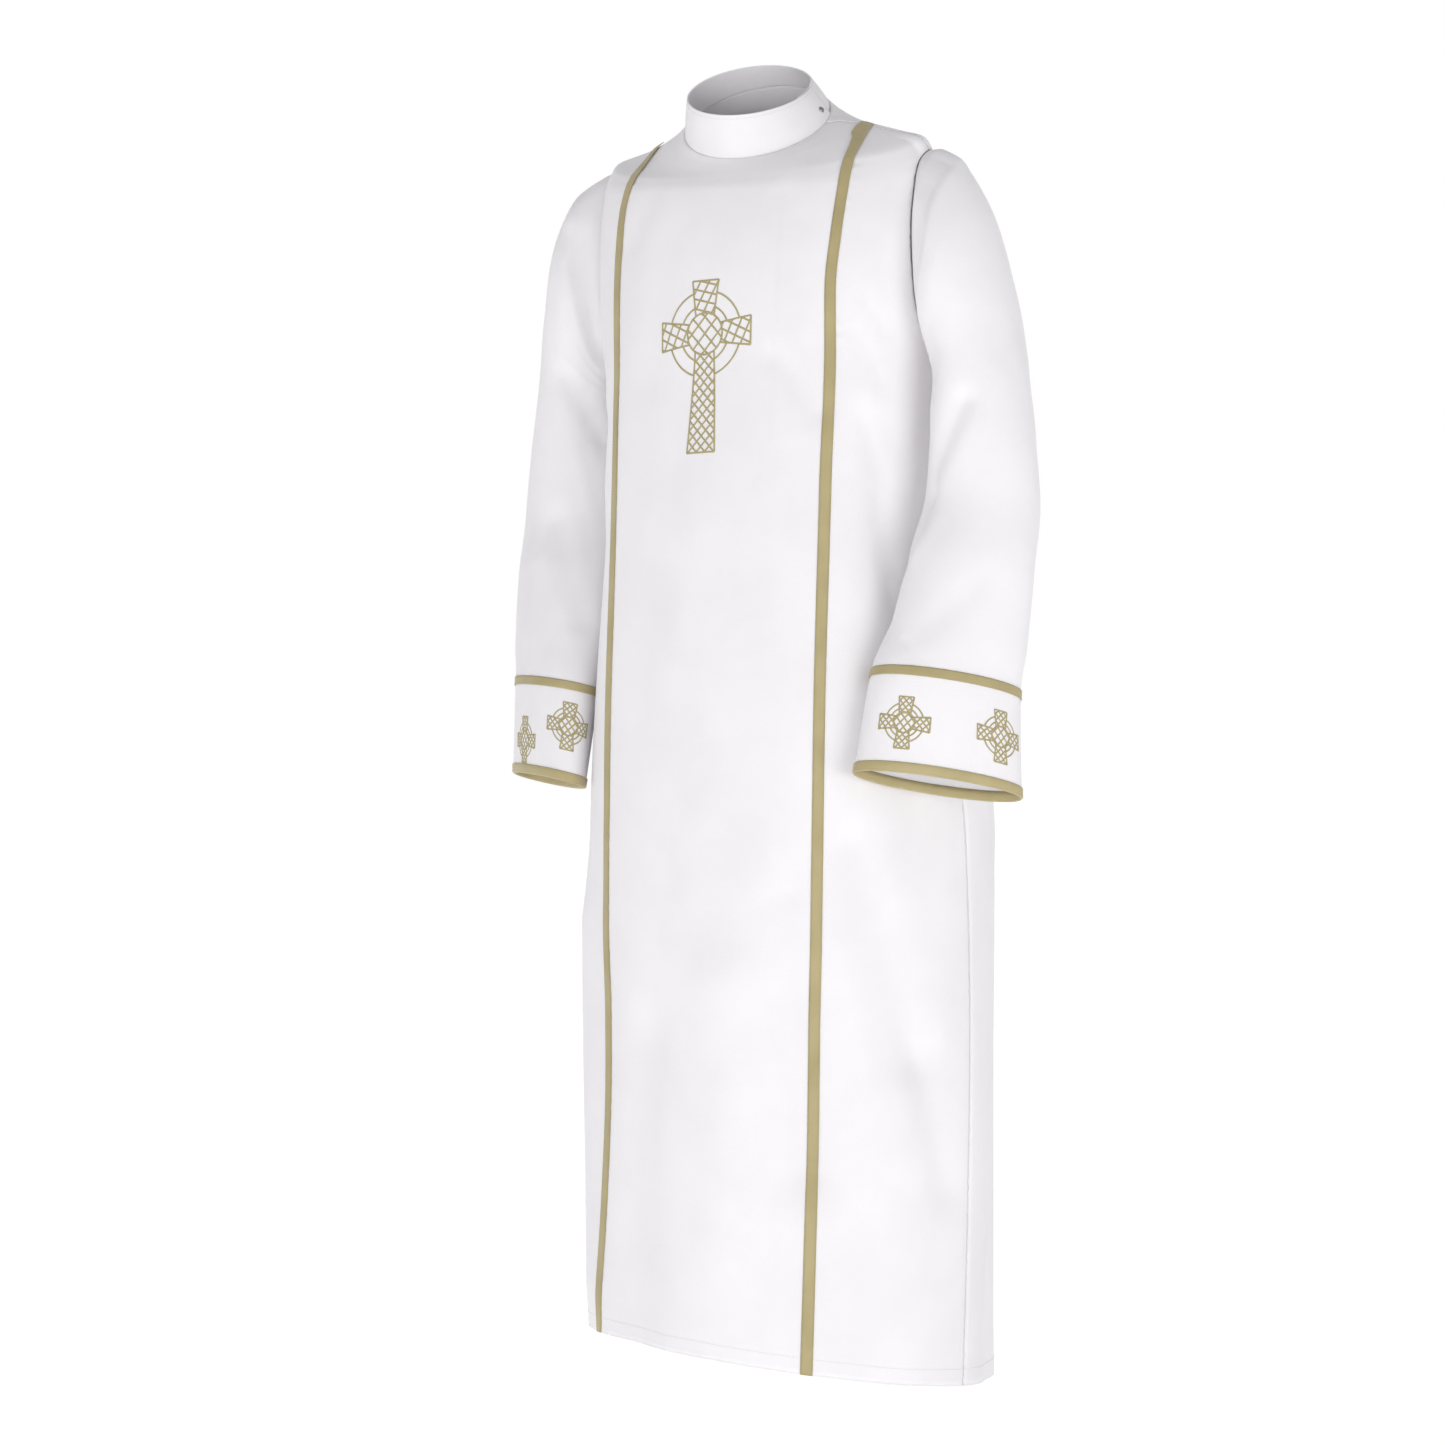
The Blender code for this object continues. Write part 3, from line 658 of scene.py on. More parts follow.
@dataclass(frozen=True)
class Sheet:
    """A rectangular mesh laid onto a surface.

    Args:
        name: The piece's name.
        rows: Steps from bottom to top.
        columns: Steps across.
        place: Gives points and pattern coordinates in metres for shares across and up.
        closed: Whether the last column meets the first.
        thickness: Thickness in metres, inwards from the surface.
    """

    name: str
    rows: int
    columns: int
    place: Place
    closed: bool = False
    thickness: float = CLOTH

    def build(self) -> bpy.types.Object:
        """Makes the piece from a flat grid, and thickens it inwards.

        Returns:
            The piece, linked to the scene.
        """
        mesh = bmesh.new()
        lay_grid(mesh, self.rows, self.columns, self.place)
        if self.closed:
            bmesh.ops.remove_doubles(mesh, verts=mesh.verts[:], dist=1e-6)
        return thicken(object_of(self.name, mesh), self.thickness)


def lay_grid(mesh: bmesh.types.BMesh, rows: int, columns: int, place: Place) -> None:
    """Adds a grid to a mesh and moves it where place says.

    Args:
        mesh: The mesh that gets the grid.
        rows: Steps from bottom to top.
        columns: Steps across.
        place: Gives points and pattern coordinates for shares across and up.
    """
    uv = mesh.loops.layers.uv.get("weave") or mesh.loops.layers.uv.new("weave")
    made = bmesh.ops.create_grid(mesh, x_segments=columns, y_segments=rows, size=0.5)["verts"]
    share = np.array([(vert.co.x, vert.co.y) for vert in made]) + 0.5
    share = np.round(share * (columns, rows)) / (columns, rows)
    points, pattern = place(share[:, 0], share[:, 1])
    where = {}
    for vert, point, at in zip(made, points.tolist(), pattern.tolist()):
        vert.co = point
        where[vert] = at
    for face in {face for vert in made for face in vert.link_faces}:
        face.smooth = True
        for loop in face.loops:
            loop[uv].uv = where[loop.vert]


def object_of(name: str, mesh: bmesh.types.BMesh) -> bpy.types.Object:
    """Closes a bmesh into a smooth object at the origin."""
    data = bpy.data.meshes.new(name)
    mesh.to_mesh(data)
    mesh.free()
    data.shade_smooth()
    return link(name, data)


def link(name: str, data: bpy.types.ID) -> bpy.types.Object:
    """Puts an object of the given data into the scene."""
    made = bpy.data.objects.new(name, data)
    bpy.context.scene.collection.objects.link(made)
    return made


def thicken(piece: bpy.types.Object, thickness: float) -> bpy.types.Object:
    """Gives a piece a wall that goes inwards from its surface."""
    wall = piece.modifiers.new("thickness", "SOLIDIFY")
    wall.thickness, wall.offset = thickness, -1
    return piece


class Maths:
    """A number socket of a material that takes part in sums: an expression adds its Math nodes."""

    def __init__(self, kit: "NodeKit", socket: bpy.types.NodeSocket) -> None:
        """Wraps one output socket of a node tree."""
        self.kit = kit
        self.socket = socket

    def _with(self, operation: str, *values: "Maths | float") -> "Maths":
        """The result of a Math node on the given values."""
        return self.kit.node("ShaderNodeMath", {"operation": operation}, {i: v for i, v in enumerate(values)})

    def __add__(self, other: "Maths | float") -> "Maths":
        """Sum."""
        return self._with("ADD", self, other)

    def __radd__(self, other: float) -> "Maths":
        """Sum, reflected."""
        return self._with("ADD", other, self)

    def __mul__(self, other: "Maths | float") -> "Maths":
        """Product."""
        return self._with("MULTIPLY", self, other)

    def __rmul__(self, other: float) -> "Maths":
        """Product, reflected."""
        return self._with("MULTIPLY", other, self)

    def __truediv__(self, other: "Maths | float") -> "Maths":
        """Quotient."""
        return self._with("DIVIDE", self, other)

    def wave(self) -> "Maths":
        """Sine."""
        return self._with("SINE", self)


class NodeKit:
    """Nodes of one material, which ends in a Principled shader."""

    def __init__(self, name: str) -> None:
        """Starts a material with its shader and nothing on it."""
        self.material = bpy.data.materials.new(name)
        self.material.use_nodes = True
        self.tree = self.material.node_tree
        self.shader = self.tree.nodes["Principled BSDF"]

    def node(
        self, kind: str, settings: dict[str, object] | None = None, inputs: dict[int | str, object] | None = None
    ) -> Maths:
        """Adds a node, sets it, then gives its sockets their values or links.

        Args:
            kind: The node's type.
            settings: Properties of the node. "stops" holds a ramp's positions and colours.
            inputs: Values or sockets by input name or number.

        Returns:
            The node's first live output.
        """
        made = self.tree.nodes.new(kind)
        for key, value in (settings or {}).items():
            if key == "stops":
                self.set_stops(made.color_ramp.elements, value)
            else:
                setattr(made, key, value)
        for key, value in (inputs or {}).items():
            if isinstance(value, Maths):
                self.tree.links.new(value.socket, made.inputs[key])
            else:
                made.inputs[key].default_value = value
        return Maths(self, next(out for out in made.outputs if out.enabled))

    @staticmethod
    def set_stops(elements: bpy.types.ColorRampElements, stops: Sequence[tuple[float, tuple]]) -> None:
        """Gives a ramp its stops."""
        while len(elements) < len(stops):
            elements.new(0.5)
        for element, (position, colour) in zip(elements, stops):
            element.position, element.color = position, colour

    def output(self, made: Maths, name: str) -> Maths:
        """Another output of the node that a socket belongs to."""
        return Maths(self, made.socket.node.outputs[name])

    def weave(self) -> tuple[Maths, Maths]:
        """The piece's own pattern coordinates in metres, across and along."""
        where = self.node("ShaderNodeUVMap", {"uv_map": "weave"})
        split = self.node("ShaderNodeSeparateXYZ", None, {0: where})
        return split, self.output(split, "Y")

    def place(self) -> Maths:
        """Object coordinates."""
        return self.output(self.node("ShaderNodeTexCoord"), "Object")

    def noise(self, scale: float, detail: float, roughness: float = 0.5) -> Maths:
        """Noise over the object."""
        inputs = {"Vector": self.place(), "Scale": scale, "Detail": detail, "Roughness": roughness}
        return self.node("ShaderNodeTexNoise", None, inputs)

    def ramp(self, value: Maths, *stops: tuple[float, tuple]) -> Maths:
        """Colour that goes with a value, from stops of position and colour."""
        return self.node("ShaderNodeValToRGB", {"stops": stops}, {0: value})

    def threads(self, distance: Maths, pitch: float) -> Maths:
        """Waves from 0 to 1, one for each thread or rib."""
        return (distance * (2 * math.pi / pitch)).wave() * 0.5 + 0.5

    def bump(self, height: Maths, strength: float, distance: float, under: Maths | None = None) -> Maths:
        """Normal over a relief, on top of another normal where one is given."""
        inputs = {"Strength": strength, "Distance": distance, "Height": height}
        return self.node("ShaderNodeBump", None, inputs if under is None else {**inputs, "Normal": under})

    def feed(self, name: str, value: Maths | float | tuple) -> None:
        """Links or sets an input of the shader."""
        if isinstance(value, Maths):
            self.tree.links.new(value.socket, self.shader.inputs[name])
        else:
            self.shader.inputs[name].default_value = value


@dataclass(frozen=True)
class ClothFinish:
    """White cotton blend in a fine plain weave.

    Args:
        name: The material's name.
        light: Colour of the cloth.
        shade: Colour in its slightly greyer patches.
        thread: Distance between threads in metres.
        sheen: Weight of the soft sheen.
    """

    name: str = "white_cloth"
    light: tuple[float, float, float, float] = (0.90, 0.885, 0.90, 1)
    shade: tuple[float, float, float, float] = (0.86, 0.84, 0.86, 1)
    thread: float = 0.0007
    sheen: float = 0.15

    def make(self) -> bpy.types.Material:
        """Builds the material.

        Returns:
            The material.
        """
        kit = NodeKit(self.name)
        across, along = kit.weave()
        turn = 2 * math.pi / self.thread
        warp, weft = (across * turn).wave(), (along * turn).wave()
        weave = warp * weft
        slow, slub = kit.noise(9.0, 3.0, 0.55), kit.noise(900.0, 1.0)
        kit.feed("Base Color", kit.ramp(slow * 0.7 + slub * 0.3, (0.38, self.shade), (0.60, self.light)))
        kit.feed("Roughness", 0.80 + 0.06 * weave)
        kit.feed("Sheen Weight", self.sheen)
        kit.feed("Sheen Roughness", 0.5)
        kit.feed("Specular IOR Level", 0.28)
        fine = kit.bump(weave + slub, 0.25, 0.00012)
        kit.feed("Normal", kit.bump(slow, 0.22, 0.004, fine))
        return kit.material


@dataclass(frozen=True)
class RibbonFinish:
    """Muted gold ribbon with fine ribs across it.

    Args:
        name: The material's name.
        light: Colour on the ribs' tops, and in the lighter random patches.
        dark: Colour between the ribs, which is painted shade in their grooves, and in the darker random patches.
        rib: Distance between ribs in metres.
        thread: Distance between the threads across them.
    """

    name: str = "gold_ribbon"
    light: tuple[float, float, float, float] = (0.50, 0.42, 0.215, 1)
    dark: tuple[float, float, float, float] = (0.40, 0.33, 0.155, 1)
    rib: float = 0.0008
    thread: float = 0.0005

    def make(self) -> bpy.types.Material:
        """Builds the material.

        Returns:
            The material.
        """
        kit = NodeKit(self.name)
        across, along = kit.weave()
        ribs, threads = kit.threads(along, self.rib), kit.threads(across, self.thread)
        slow = kit.noise(22.0, 3.0)
        # Painted shade: the colour darkens between the ribs and the threads, as the bump's grooves do, on top of
        # random lighter and darker patches
        mix = slow * 0.7 + ribs * 0.2 + threads * 0.1
        kit.feed("Base Color", kit.ramp(mix, (0.3, self.dark), (0.62, self.light)))
        kit.feed("Roughness", 0.46 + 0.12 * slow)
        kit.feed("Sheen Weight", 0.2)
        kit.feed("Normal", kit.bump(ribs + threads, 0.5, 0.00015))
        return kit.material


@dataclass(frozen=True)
class ThreadFinish:
    """Sewing or embroidery thread laid side by side across a line.

    Args:
        name: The material's name.
        light: Colour on top of a thread, a painted highlight, and in the lighter random patches.
        dark: Colour between threads, which is painted shade in the grooves, and in the darker random patches.
        pitch: Distance between threads in metres.
    """

    name: str
    light: tuple[float, float, float, float]
    dark: tuple[float, float, float, float]
    pitch: float = 0.0005

    def make(self) -> bpy.types.Material:
        """Builds the material.

        Returns:
            The material.
        """
        kit = NodeKit(self.name)
        across, along = kit.weave()
        threads = kit.threads(along + across * 0.35, self.pitch)
        slow = kit.noise(120.0, 2.0)
        # Painted highlight on the threads' tops and painted shade between them, mixed half and half with random
        # patches
        kit.feed("Base Color", kit.ramp(threads * 0.5 + slow * 0.5, (0.25, self.dark), (0.6, self.light)))
        kit.feed("Roughness", 0.42 + 0.1 * slow)
        kit.feed("Normal", kit.bump(threads, 0.5, 0.0002))
        return kit.material


@dataclass(frozen=True)
class StudFinish:
    """Dull pressed metal of a snap."""

    name: str = "snap_metal"
    colour: tuple[float, float, float, float] = (0.34, 0.33, 0.32, 1)

    def make(self) -> bpy.types.Material:
        """Builds the material.

        Returns:
            The material.
        """
        kit = NodeKit(self.name)
        wear = kit.noise(700.0, 3.0)
        kit.feed("Base Color", self.colour)
        kit.feed("Metallic", 1.0)
        kit.feed("Roughness", 0.28 + 0.25 * wear)
        kit.feed("Normal", kit.bump(wear, 0.2, 0.0001))
        return kit.material


class Finish(Enum):
    """The finishes of the alb, each with the record's slot that it stands for."""

    CLOTH = (ClothFinish(), "white_cloth")
    RIBBON = (RibbonFinish(), "gold_ribbon")
    # Thread colours on top of a thread and between threads: the second is painted shade in the grooves, mixed with
    # darker random patches
    EMBROIDERY = (ThreadFinish("gold_thread", (0.50, 0.43, 0.225, 1), (0.36, 0.30, 0.14, 1)), "gold_ribbon")
    SEWING = (ThreadFinish("white_thread", (0.80, 0.79, 0.81, 1), (0.66, 0.65, 0.67, 1)), "white_cloth")
    STUD = (StudFinish(), "snap_metal")

    @functools.cached_property
    def material(self) -> bpy.types.Material:
        """The finish's material, made once."""
        return self.value[0].make()

    def dress(self, piece: bpy.types.Object) -> bpy.types.Object:
        """Gives a piece this finish."""
        piece.data.materials.clear()
        piece.data.materials.append(self.material)
        return piece


def settle(piece: bpy.types.Object, finish: Finish, *nodes: str) -> bpy.types.Object:
    """Dresses a piece, lets it ride on the alb and replaces the nodes that it stands for.

    Args:
        piece: The piece.
        finish: Its finish.
        nodes: CAD nodes that it replaces.

    Returns:
        The piece.
    """
    finish.dress(piece)
    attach(piece, "root")
    if nodes:
        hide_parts(*nodes)
    log.info("%s: %d faces", piece.name, len(piece.data.polygons))
    return piece


def seam_relief(distance: Array, along: Array, seed: int) -> Array:
    """A seam's groove, and the small puckers beside it.

    Args:
        distance: Distance from the seam in metres.
        along: Distance along the seam in metres.
        seed: Seed of the puckers.

    Returns:
        Height in metres.
    """
    groove = -0.0007 * np.exp(-((distance / 0.0022) ** 2))
    pucker = 0.00045 * ripple(distance * 0, along, seed, 0.017) * np.exp(-((distance / 0.011) ** 2))
    return groove + pucker


@dataclass(frozen=True)
class Weave2D:
    """A lattice of straight lines in a plane.

    Args:
        slopes: Direction of each family of lines, in degrees from the plane's x axis.
        pitch: Distance between the lines of a family.
        shift: Distance of each family's first line from the middle.
    """

    slopes: tuple[float, ...]
    pitch: float
    shift: float = 0.0

    def lines(self, reach: float) -> list[tuple[Array, Array]]:
        """A point and a direction for every line within reach of the middle."""
        found = []
        for slope in np.radians(self.slopes):
            ahead = np.array([math.cos(slope), math.sin(slope)])
            aside = np.array([-ahead[1], ahead[0]])
            count = int(reach / self.pitch) + 1
            found += [(aside * (self.shift + i * self.pitch), ahead) for i in range(-count, count + 1)]
        return found


@dataclass(frozen=True)
class CrossArm:
    """One arm of a cross, which widens towards its end.

    Args:
        turn: Direction in degrees, anticlockwise from the top.
        start: Distance of its start from the middle.
        end: Distance of its end.
        start_half: Half its width at the start.
        end_half: Half its width at the end.
        weave: The lattice inside it.
    """

    turn: float
    start: float
    end: float
    start_half: float
    end_half: float
    weave: Weave2D

    def corners(self) -> Array:
        """The arm's four corners, anticlockwise."""
        far = [(self.end_half, self.end), (-self.end_half, self.end)]
        near = [(-self.start_half, self.start), (self.start_half, self.start)]
        flat = np.array(far + near)
        turn = math.radians(self.turn)
        return flat @ np.array([[math.cos(turn), math.sin(turn)], [-math.sin(turn), math.cos(turn)]])

    def strokes(self) -> list[Array]:
        """Outline and lattice as lines of points."""
        corners = self.corners()
        found = [np.array([corners[i], corners[(i + 1) % 4]]) for i in (3, 0, 1)]
        middle = corners.mean(axis=0)
        for point, ahead in self.weave.lines(self.end):
            low, high = -1.0, 1.0
            for i in range(4):
                edge = corners[(i + 1) % 4] - corners[i]
                inward = np.array([-edge[1], edge[0]])
                inward = inward * np.sign(inward @ (middle - corners[i]))
                slope, gap = ahead @ inward, (corners[i] - point) @ inward
                if slope > 0:
                    low = max(low, gap / slope)
                elif slope < 0:
                    high = min(high, gap / slope)
            if high - low > 0.002:
                found.append(np.array([point + ahead * low, point + ahead * high]))
        return found


@dataclass(frozen=True)
class RingedCross:
    """A cross of woven lines with rings behind its arms, all worked out from a few sizes.

    Args:
        name: The piece's name.
        arms: Its four arms.
        rings: Radii of the rings between the arms.
        hub: Radius of the circle in the middle.
        hub_weave: The lattice inside the hub.
        line: Width of a line.
    """

    name: str
    arms: tuple[CrossArm, ...]
    rings: tuple[float, ...]
    hub: float
    hub_weave: Weave2D
    line: float

    def strokes(self) -> list[Array]:
        """Every line of the cross as points in its plane."""
        found = [stroke for arm in self.arms for stroke in arm.strokes()]
        for radius in self.rings:
            found += self._arcs(radius)
        turns = np.linspace(0, 2 * math.pi, 49)
        found.append(self.hub * np.stack([np.cos(turns), np.sin(turns)], axis=-1))
        for point, ahead in self.hub_weave.lines(self.hub):
            reach = self.hub**2 - point @ point
            if reach > (0.2 * self.hub) ** 2:
                found.append(np.array([point - ahead * math.sqrt(reach), point + ahead * math.sqrt(reach)]))
        return found

    def _arcs(self, radius: float) -> list[Array]:
        """A ring's arcs, from each arm to the next."""
        found = []
        arms = sorted(self.arms, key=lambda arm: arm.turn % 360)
        for arm, following in zip(arms, [*arms[1:], arms[0]]):
            ends = []
            for at, way in ((arm, 1), (following, -1)):
                half = np.interp(radius, (at.start, at.end), (at.start_half, at.end_half))
                ends.append(math.radians(at.turn + 90) + way * math.asin(half / radius))
            ends[1] += 2 * math.pi * (ends[1] < ends[0])
            turns = np.linspace(*ends, 15)
            found.append(radius * np.stack([np.cos(turns), np.sin(turns)], axis=-1))
        return found

    def sew(self, surface: Surface, centre: tuple[float, float], ways: tuple[float, float]) -> bpy.types.Object:
        """Embroiders the cross onto a surface.

        Args:
            surface: What it lies on.
            centre: Its middle, by the surface's parameters, the second in degrees.
            ways: Sign of the first parameter upwards, and of the second towards the viewer's right.

        Returns:
            The piece.
        """
        mesh = bmesh.new()
        for stroke in self.strokes():
            self._lay_stroke(mesh, stroke)
        mesh.verts.ensure_lookup_table()
        flat = np.array([vert.co[:] for vert in mesh.verts])
        middle = np.full(len(flat), centre[0]), np.full(len(flat), math.radians(centre[1]))
        first, second = surface.walk(*middle, flat[:, 1] * ways[0], flat[:, 0] * ways[1])
        for vert, point in zip(mesh.verts, surface.over(first, second, flat[:, 2]).tolist()):
            vert.co = point
        return settle(thicken(object_of(self.name, mesh), EMBROIDERY), Finish.EMBROIDERY)

    def _lay_stroke(self, mesh: bmesh.types.BMesh, stroke: Array) -> None:
        """Adds one line of stitching, flat, with its height as z."""
        lengths = running(np.linalg.norm(np.diff(stroke, axis=0), axis=1))

        def at(along: Array) -> Array:
            return np.stack([np.interp(along, lengths, stroke[:, i]) for i in (0, 1)], axis=-1)

        def place(across: Array, up: Array) -> tuple[Array, Array]:
            along = up * lengths[-1]
            ahead = at(along + 2 * STEP) - at(along - 2 * STEP)
            ahead /= np.linalg.norm(ahead, axis=-1, keepdims=True)
            aside = np.stack([ahead[:, 1], -ahead[:, 0]], axis=-1)
            flat = at(along) + aside * ((across - 0.5) * self.line)[:, None]
            height = 0.00020 + 0.00030 * (1 - (2 * across - 1) ** 2)
            return np.column_stack([flat, height]), np.stack([across * self.line, along], axis=-1)

        lay_grid(mesh, max(2, int(lengths[-1] / 0.0022)), 4, place)


def plain_cross(name: str) -> RingedCross:
    """The small cross of the cuffs, with four like arms."""
    weave = Weave2D((47, -47), 0.0048, 0.0012)
    arms = tuple(CrossArm(turn, 0.0095, 0.0270, 0.0060, 0.0080, weave) for turn in (0, 90, 180, 270))
    return RingedCross(name, arms, (0.0205, 0.0152), 0.0108, Weave2D((50, -50), 0.0060, 0.0030), 0.00165)


def chest_cross() -> RingedCross:
    """The tall cross of the chest, whose lower arm is the longest."""
    upper = Weave2D((-15, 61), 0.0102, 0.003)
    slanted = Weave2D((-26, 66), 0.0102, 0.003)
    arms = (
        CrossArm(0, 0.0200, 0.058, 0.0119, 0.0168, upper),
        CrossArm(90, 0.0205, 0.0585, 0.0108, 0.0160, slanted),
        CrossArm(270, 0.0205, 0.0585, 0.0108, 0.0160, slanted),
        CrossArm(180, 0.0200, 0.129, 0.0124, 0.0183, Weave2D((46, -46), 0.0081, 0.004)),
    )
    return RingedCross("chest_cross", arms, (0.0465, 0.0310), 0.0227, Weave2D((47, -47), 0.0125, 0.0), 0.0021)


@dataclass(frozen=True)
class StitchRow:
    """A row of small stitches along a line on a surface.

    Args:
        surface: What the row is sewn on.
        path: Gives the surface's two parameters for distances along the row.
        length: Length of the row.
        height: Height of the stitches' middle above the surface.
        stitch: Length of a stitch.
        gap: Gap between stitches.
        width: Width of a stitch.
    """

    surface: Surface
    path: Callable[[Array], tuple[Array, Array]]
    length: float
    height: float = 0.00015
    stitch: float = 0.0026
    gap: float = 0.0009
    width: float = 0.0006

    def points(self) -> Array:
        """Corners of the row's stitches, as an array of stitch, corner and axis."""
        step = self.stitch + self.gap
        distance = (np.arange(int(self.length / step)) + 0.5) * step
        first, second = self.path(distance)
        centre = self.surface.over(first, second, np.full(len(distance), self.height))
        normal = self.surface.normal_of(self.surface.at, first, second)
        beyond, before = (self.surface.at(*self.path(distance + way * 0.0008)) for way in (1, -1))
        ahead = beyond - before
        ahead /= np.linalg.norm(ahead, axis=-1, keepdims=True)
        axes = np.stack([ahead, np.cross(normal, ahead), normal], axis=1)
        half = np.array([self.stitch, self.width, self.width]) / 2
        return centre[:, None] + np.einsum("pk,skc->spc", stitch_form()[0] * half, axes)


@functools.cache
def stitch_form() -> tuple[Array, Array]:
    """Corners and faces of one stitch, a rounded bar of half length 1."""
    mesh = bmesh.new()
    bmesh.ops.create_icosphere(mesh, subdivisions=1, radius=1.0)
    mesh.verts.index_update()
    points = np.array([vert.co[:] for vert in mesh.verts])
    faces = np.array([[vert.index for vert in face.verts] for face in mesh.faces])
    mesh.free()
    return points, faces


def sew_rows(name: str, rows: Sequence[StitchRow], finish: Finish) -> bpy.types.Object:
    """Makes one piece of several rows of stitches."""
    points = np.concatenate([row.points() for row in rows])
    corners, faces = stitch_form()
    faces = (faces + np.arange(len(points))[:, None, None] * len(corners)).reshape(-1, 3)
    data = bpy.data.meshes.new(name)
    data.from_pydata(points.reshape(-1, 3).tolist(), [], faces.tolist())
    pattern = points.reshape(-1, 3) @ np.array([[1, 0], [1, 0], [0, 1]])
    data.uv_layers.new(name="weave").data.foreach_set("uv", pattern[faces.ravel()].ravel())
    data.shade_smooth()
    return settle(link(name, data), finish)


@dataclass
class BodyPanels:
    """Front, side fronts and back, with the gold bands over the front seams.

    Args:
        surface: The body.
        band_width: Width of a gold band.
        hem_depth: Height of the hem's stitches above the edge.
        rows: Steps from hem to shoulder.
    """

    surface: BodySurface
    band_width: float = 0.0110
    hem_depth: float = 0.018
    rows: int = 300
    pieces: dict[str, bpy.types.Object] = field(default_factory=dict)

    def _panel(self, node: str, columns: int, edges: Edges, to_neck: bool, seed: int) -> bpy.types.Object:
        """Cloth of one CAD node, between two edges that a function gives for each level."""

        def place(across: Array, up: Array) -> tuple[Array, Array]:
            level = self.surface.levels(up, to_neck)
            start, end = edges(level)
            angle = start + (end - start) * across
            width = (end - start) * self.surface.speed(level, (start + end) / 2)[1]
            distance = np.minimum(across, 1 - across) * width
            height = seam_relief(distance, level + seed * across.round(), seed)
            points = self.surface.over(level, angle, height)
            return points, np.stack([(across - 0.5) * width, level], axis=-1)

        return settle(Sheet(f"{node}_cloth", self.rows, columns, place).build(), Finish.CLOTH, node)

    def _front_edges(self, level: Array) -> tuple[Array, Array]:
        """Both edges of the centre front."""
        body = self.surface
        below = level < body.seam_end
        left, right = (np.where(below, body.angle_at(level, body.seam_x(level, side)), math.pi / 2) for side in Side)
        return body.gap_angle(level, right) - right, left - body.gap_angle(level, left)

    def _side_edges(self, side: Side) -> Edges:
        """Edges of a side front, from the wearer's right to the left."""

        def edges(level: Array) -> tuple[Array, Array]:
            body = self.surface
            inner, outer = body.angle_at(level, body.seam_x(level, side)), body.side_angle(level)
            inner, outer = inner + body.gap_angle(level, inner), outer - body.gap_angle(level, outer)
            return (inner, outer) if side is Side.LEFT else (-outer, -inner)

        return edges

    def _back_edges(self, level: Array) -> tuple[Array, Array]:
        """Both edges of the back."""
        edge = math.pi - self.surface.side_angle(level)
        edge = edge + self.surface.gap_angle(level, edge)
        return edge, 2 * math.pi - edge

    def build(self) -> None:
        """Makes the cloth panels and the bands."""
        made = self.pieces
        made["front"] = self._panel("front_panel", 72, self._front_edges, True, 1)
        made["back"] = self._panel("back_panel", 96, self._back_edges, True, 2)
        for side in Side:
            edges = self._side_edges(side)
            made[f"side_{side.word}"] = self._panel(f"side_front_{side.word}", 36, edges, False, 3 + side.value)
            made[f"band_{side.word}"] = self._band(side)
        made["cross"] = chest_cross().sew(self.surface, (-0.246, -1.0), (1, 1))
        made["hem"] = self._hem_stitches()
        rows = [row for side in Side for row in self._band_rows(side)]
        made["edges"] = sew_rows("band_stitches", rows, Finish.EMBROIDERY)

    def _hem_stitches(self) -> bpy.types.Object:
        """The row of stitches that holds the hem up, all round."""
        body = self.surface
        level = body.hem_level + self.hem_depth
        turns = np.linspace(0, 2 * math.pi, 721)
        lengths = lengths_round(body.speed(np.full_like(turns, level), turns)[1], turns)

        def path(distance: Array) -> tuple[Array, Array]:
            return np.full_like(distance, level), np.interp(distance, lengths, turns)

        return sew_rows("hem_stitches", [StitchRow(body, path, lengths[-1])], Finish.SEWING)

    def _band_rows(self, side: Side) -> list[StitchRow]:
        """Stitches along both edges of a gold band."""
        body = self.surface
        rows = []
        for edge in (-1, 1):
            inset = edge * (self.band_width / 2 - 0.0012)

            def path(distance: Array, inset: float = inset) -> tuple[Array, Array]:
                level = body.hem_level + distance
                angle = body.angle_at(level, body.seam_x(level, side) + inset)
                return level, angle * side.value

            rows.append(StitchRow(body, path, -0.045 - body.hem_level, height=0.00135))
        return rows

    def _band(self, side: Side) -> bpy.types.Object:
        """Gold ribbon over one front seam."""
        body = self.surface

        def place(across: Array, up: Array) -> tuple[Array, Array]:
            level = body.levels(up, False)
            offset = (across - 0.5) * self.band_width
            _, top = body.armhole
            offsets, which = np.unique(offset.round(6), return_inverse=True)
            widths = body.seam_top_x + offsets * side.value
            last = np.array([body.level_of_width(x, body.shoulder_level, 0.0) for x in widths])[which]
            level = np.where(level > top, top + (last - top) * (level - top) / (body.seam_end - top), level)
            angle = body.angle_at(level, body.seam_x(level, side) + offset * side.value)
            angle = np.where(up > 1 - EDGE, math.pi / 2, angle)
            angle = np.minimum(angle, math.pi / 2 - 2 * body.gap_angle(level, angle))
            crown = 1 - np.abs(2 * across - 1) ** 6
            height = RIBBON_LIFT + RIBBON + 0.0005 * crown + 0.0010 * ease((level - top + 0.02) / 0.02)
            points = body.over(level, angle * side.value, height)
            return points, np.stack([offset, level], axis=-1)

        band = Sheet(f"band_{side.word}_ribbon", self.rows, 8, place, thickness=RIBBON).build()
        return settle(band, Finish.RIBBON, f"band_{side.word}")

    def declare(self, collar: bpy.types.Object) -> None:
        """Does nothing with the collar that it is given."""


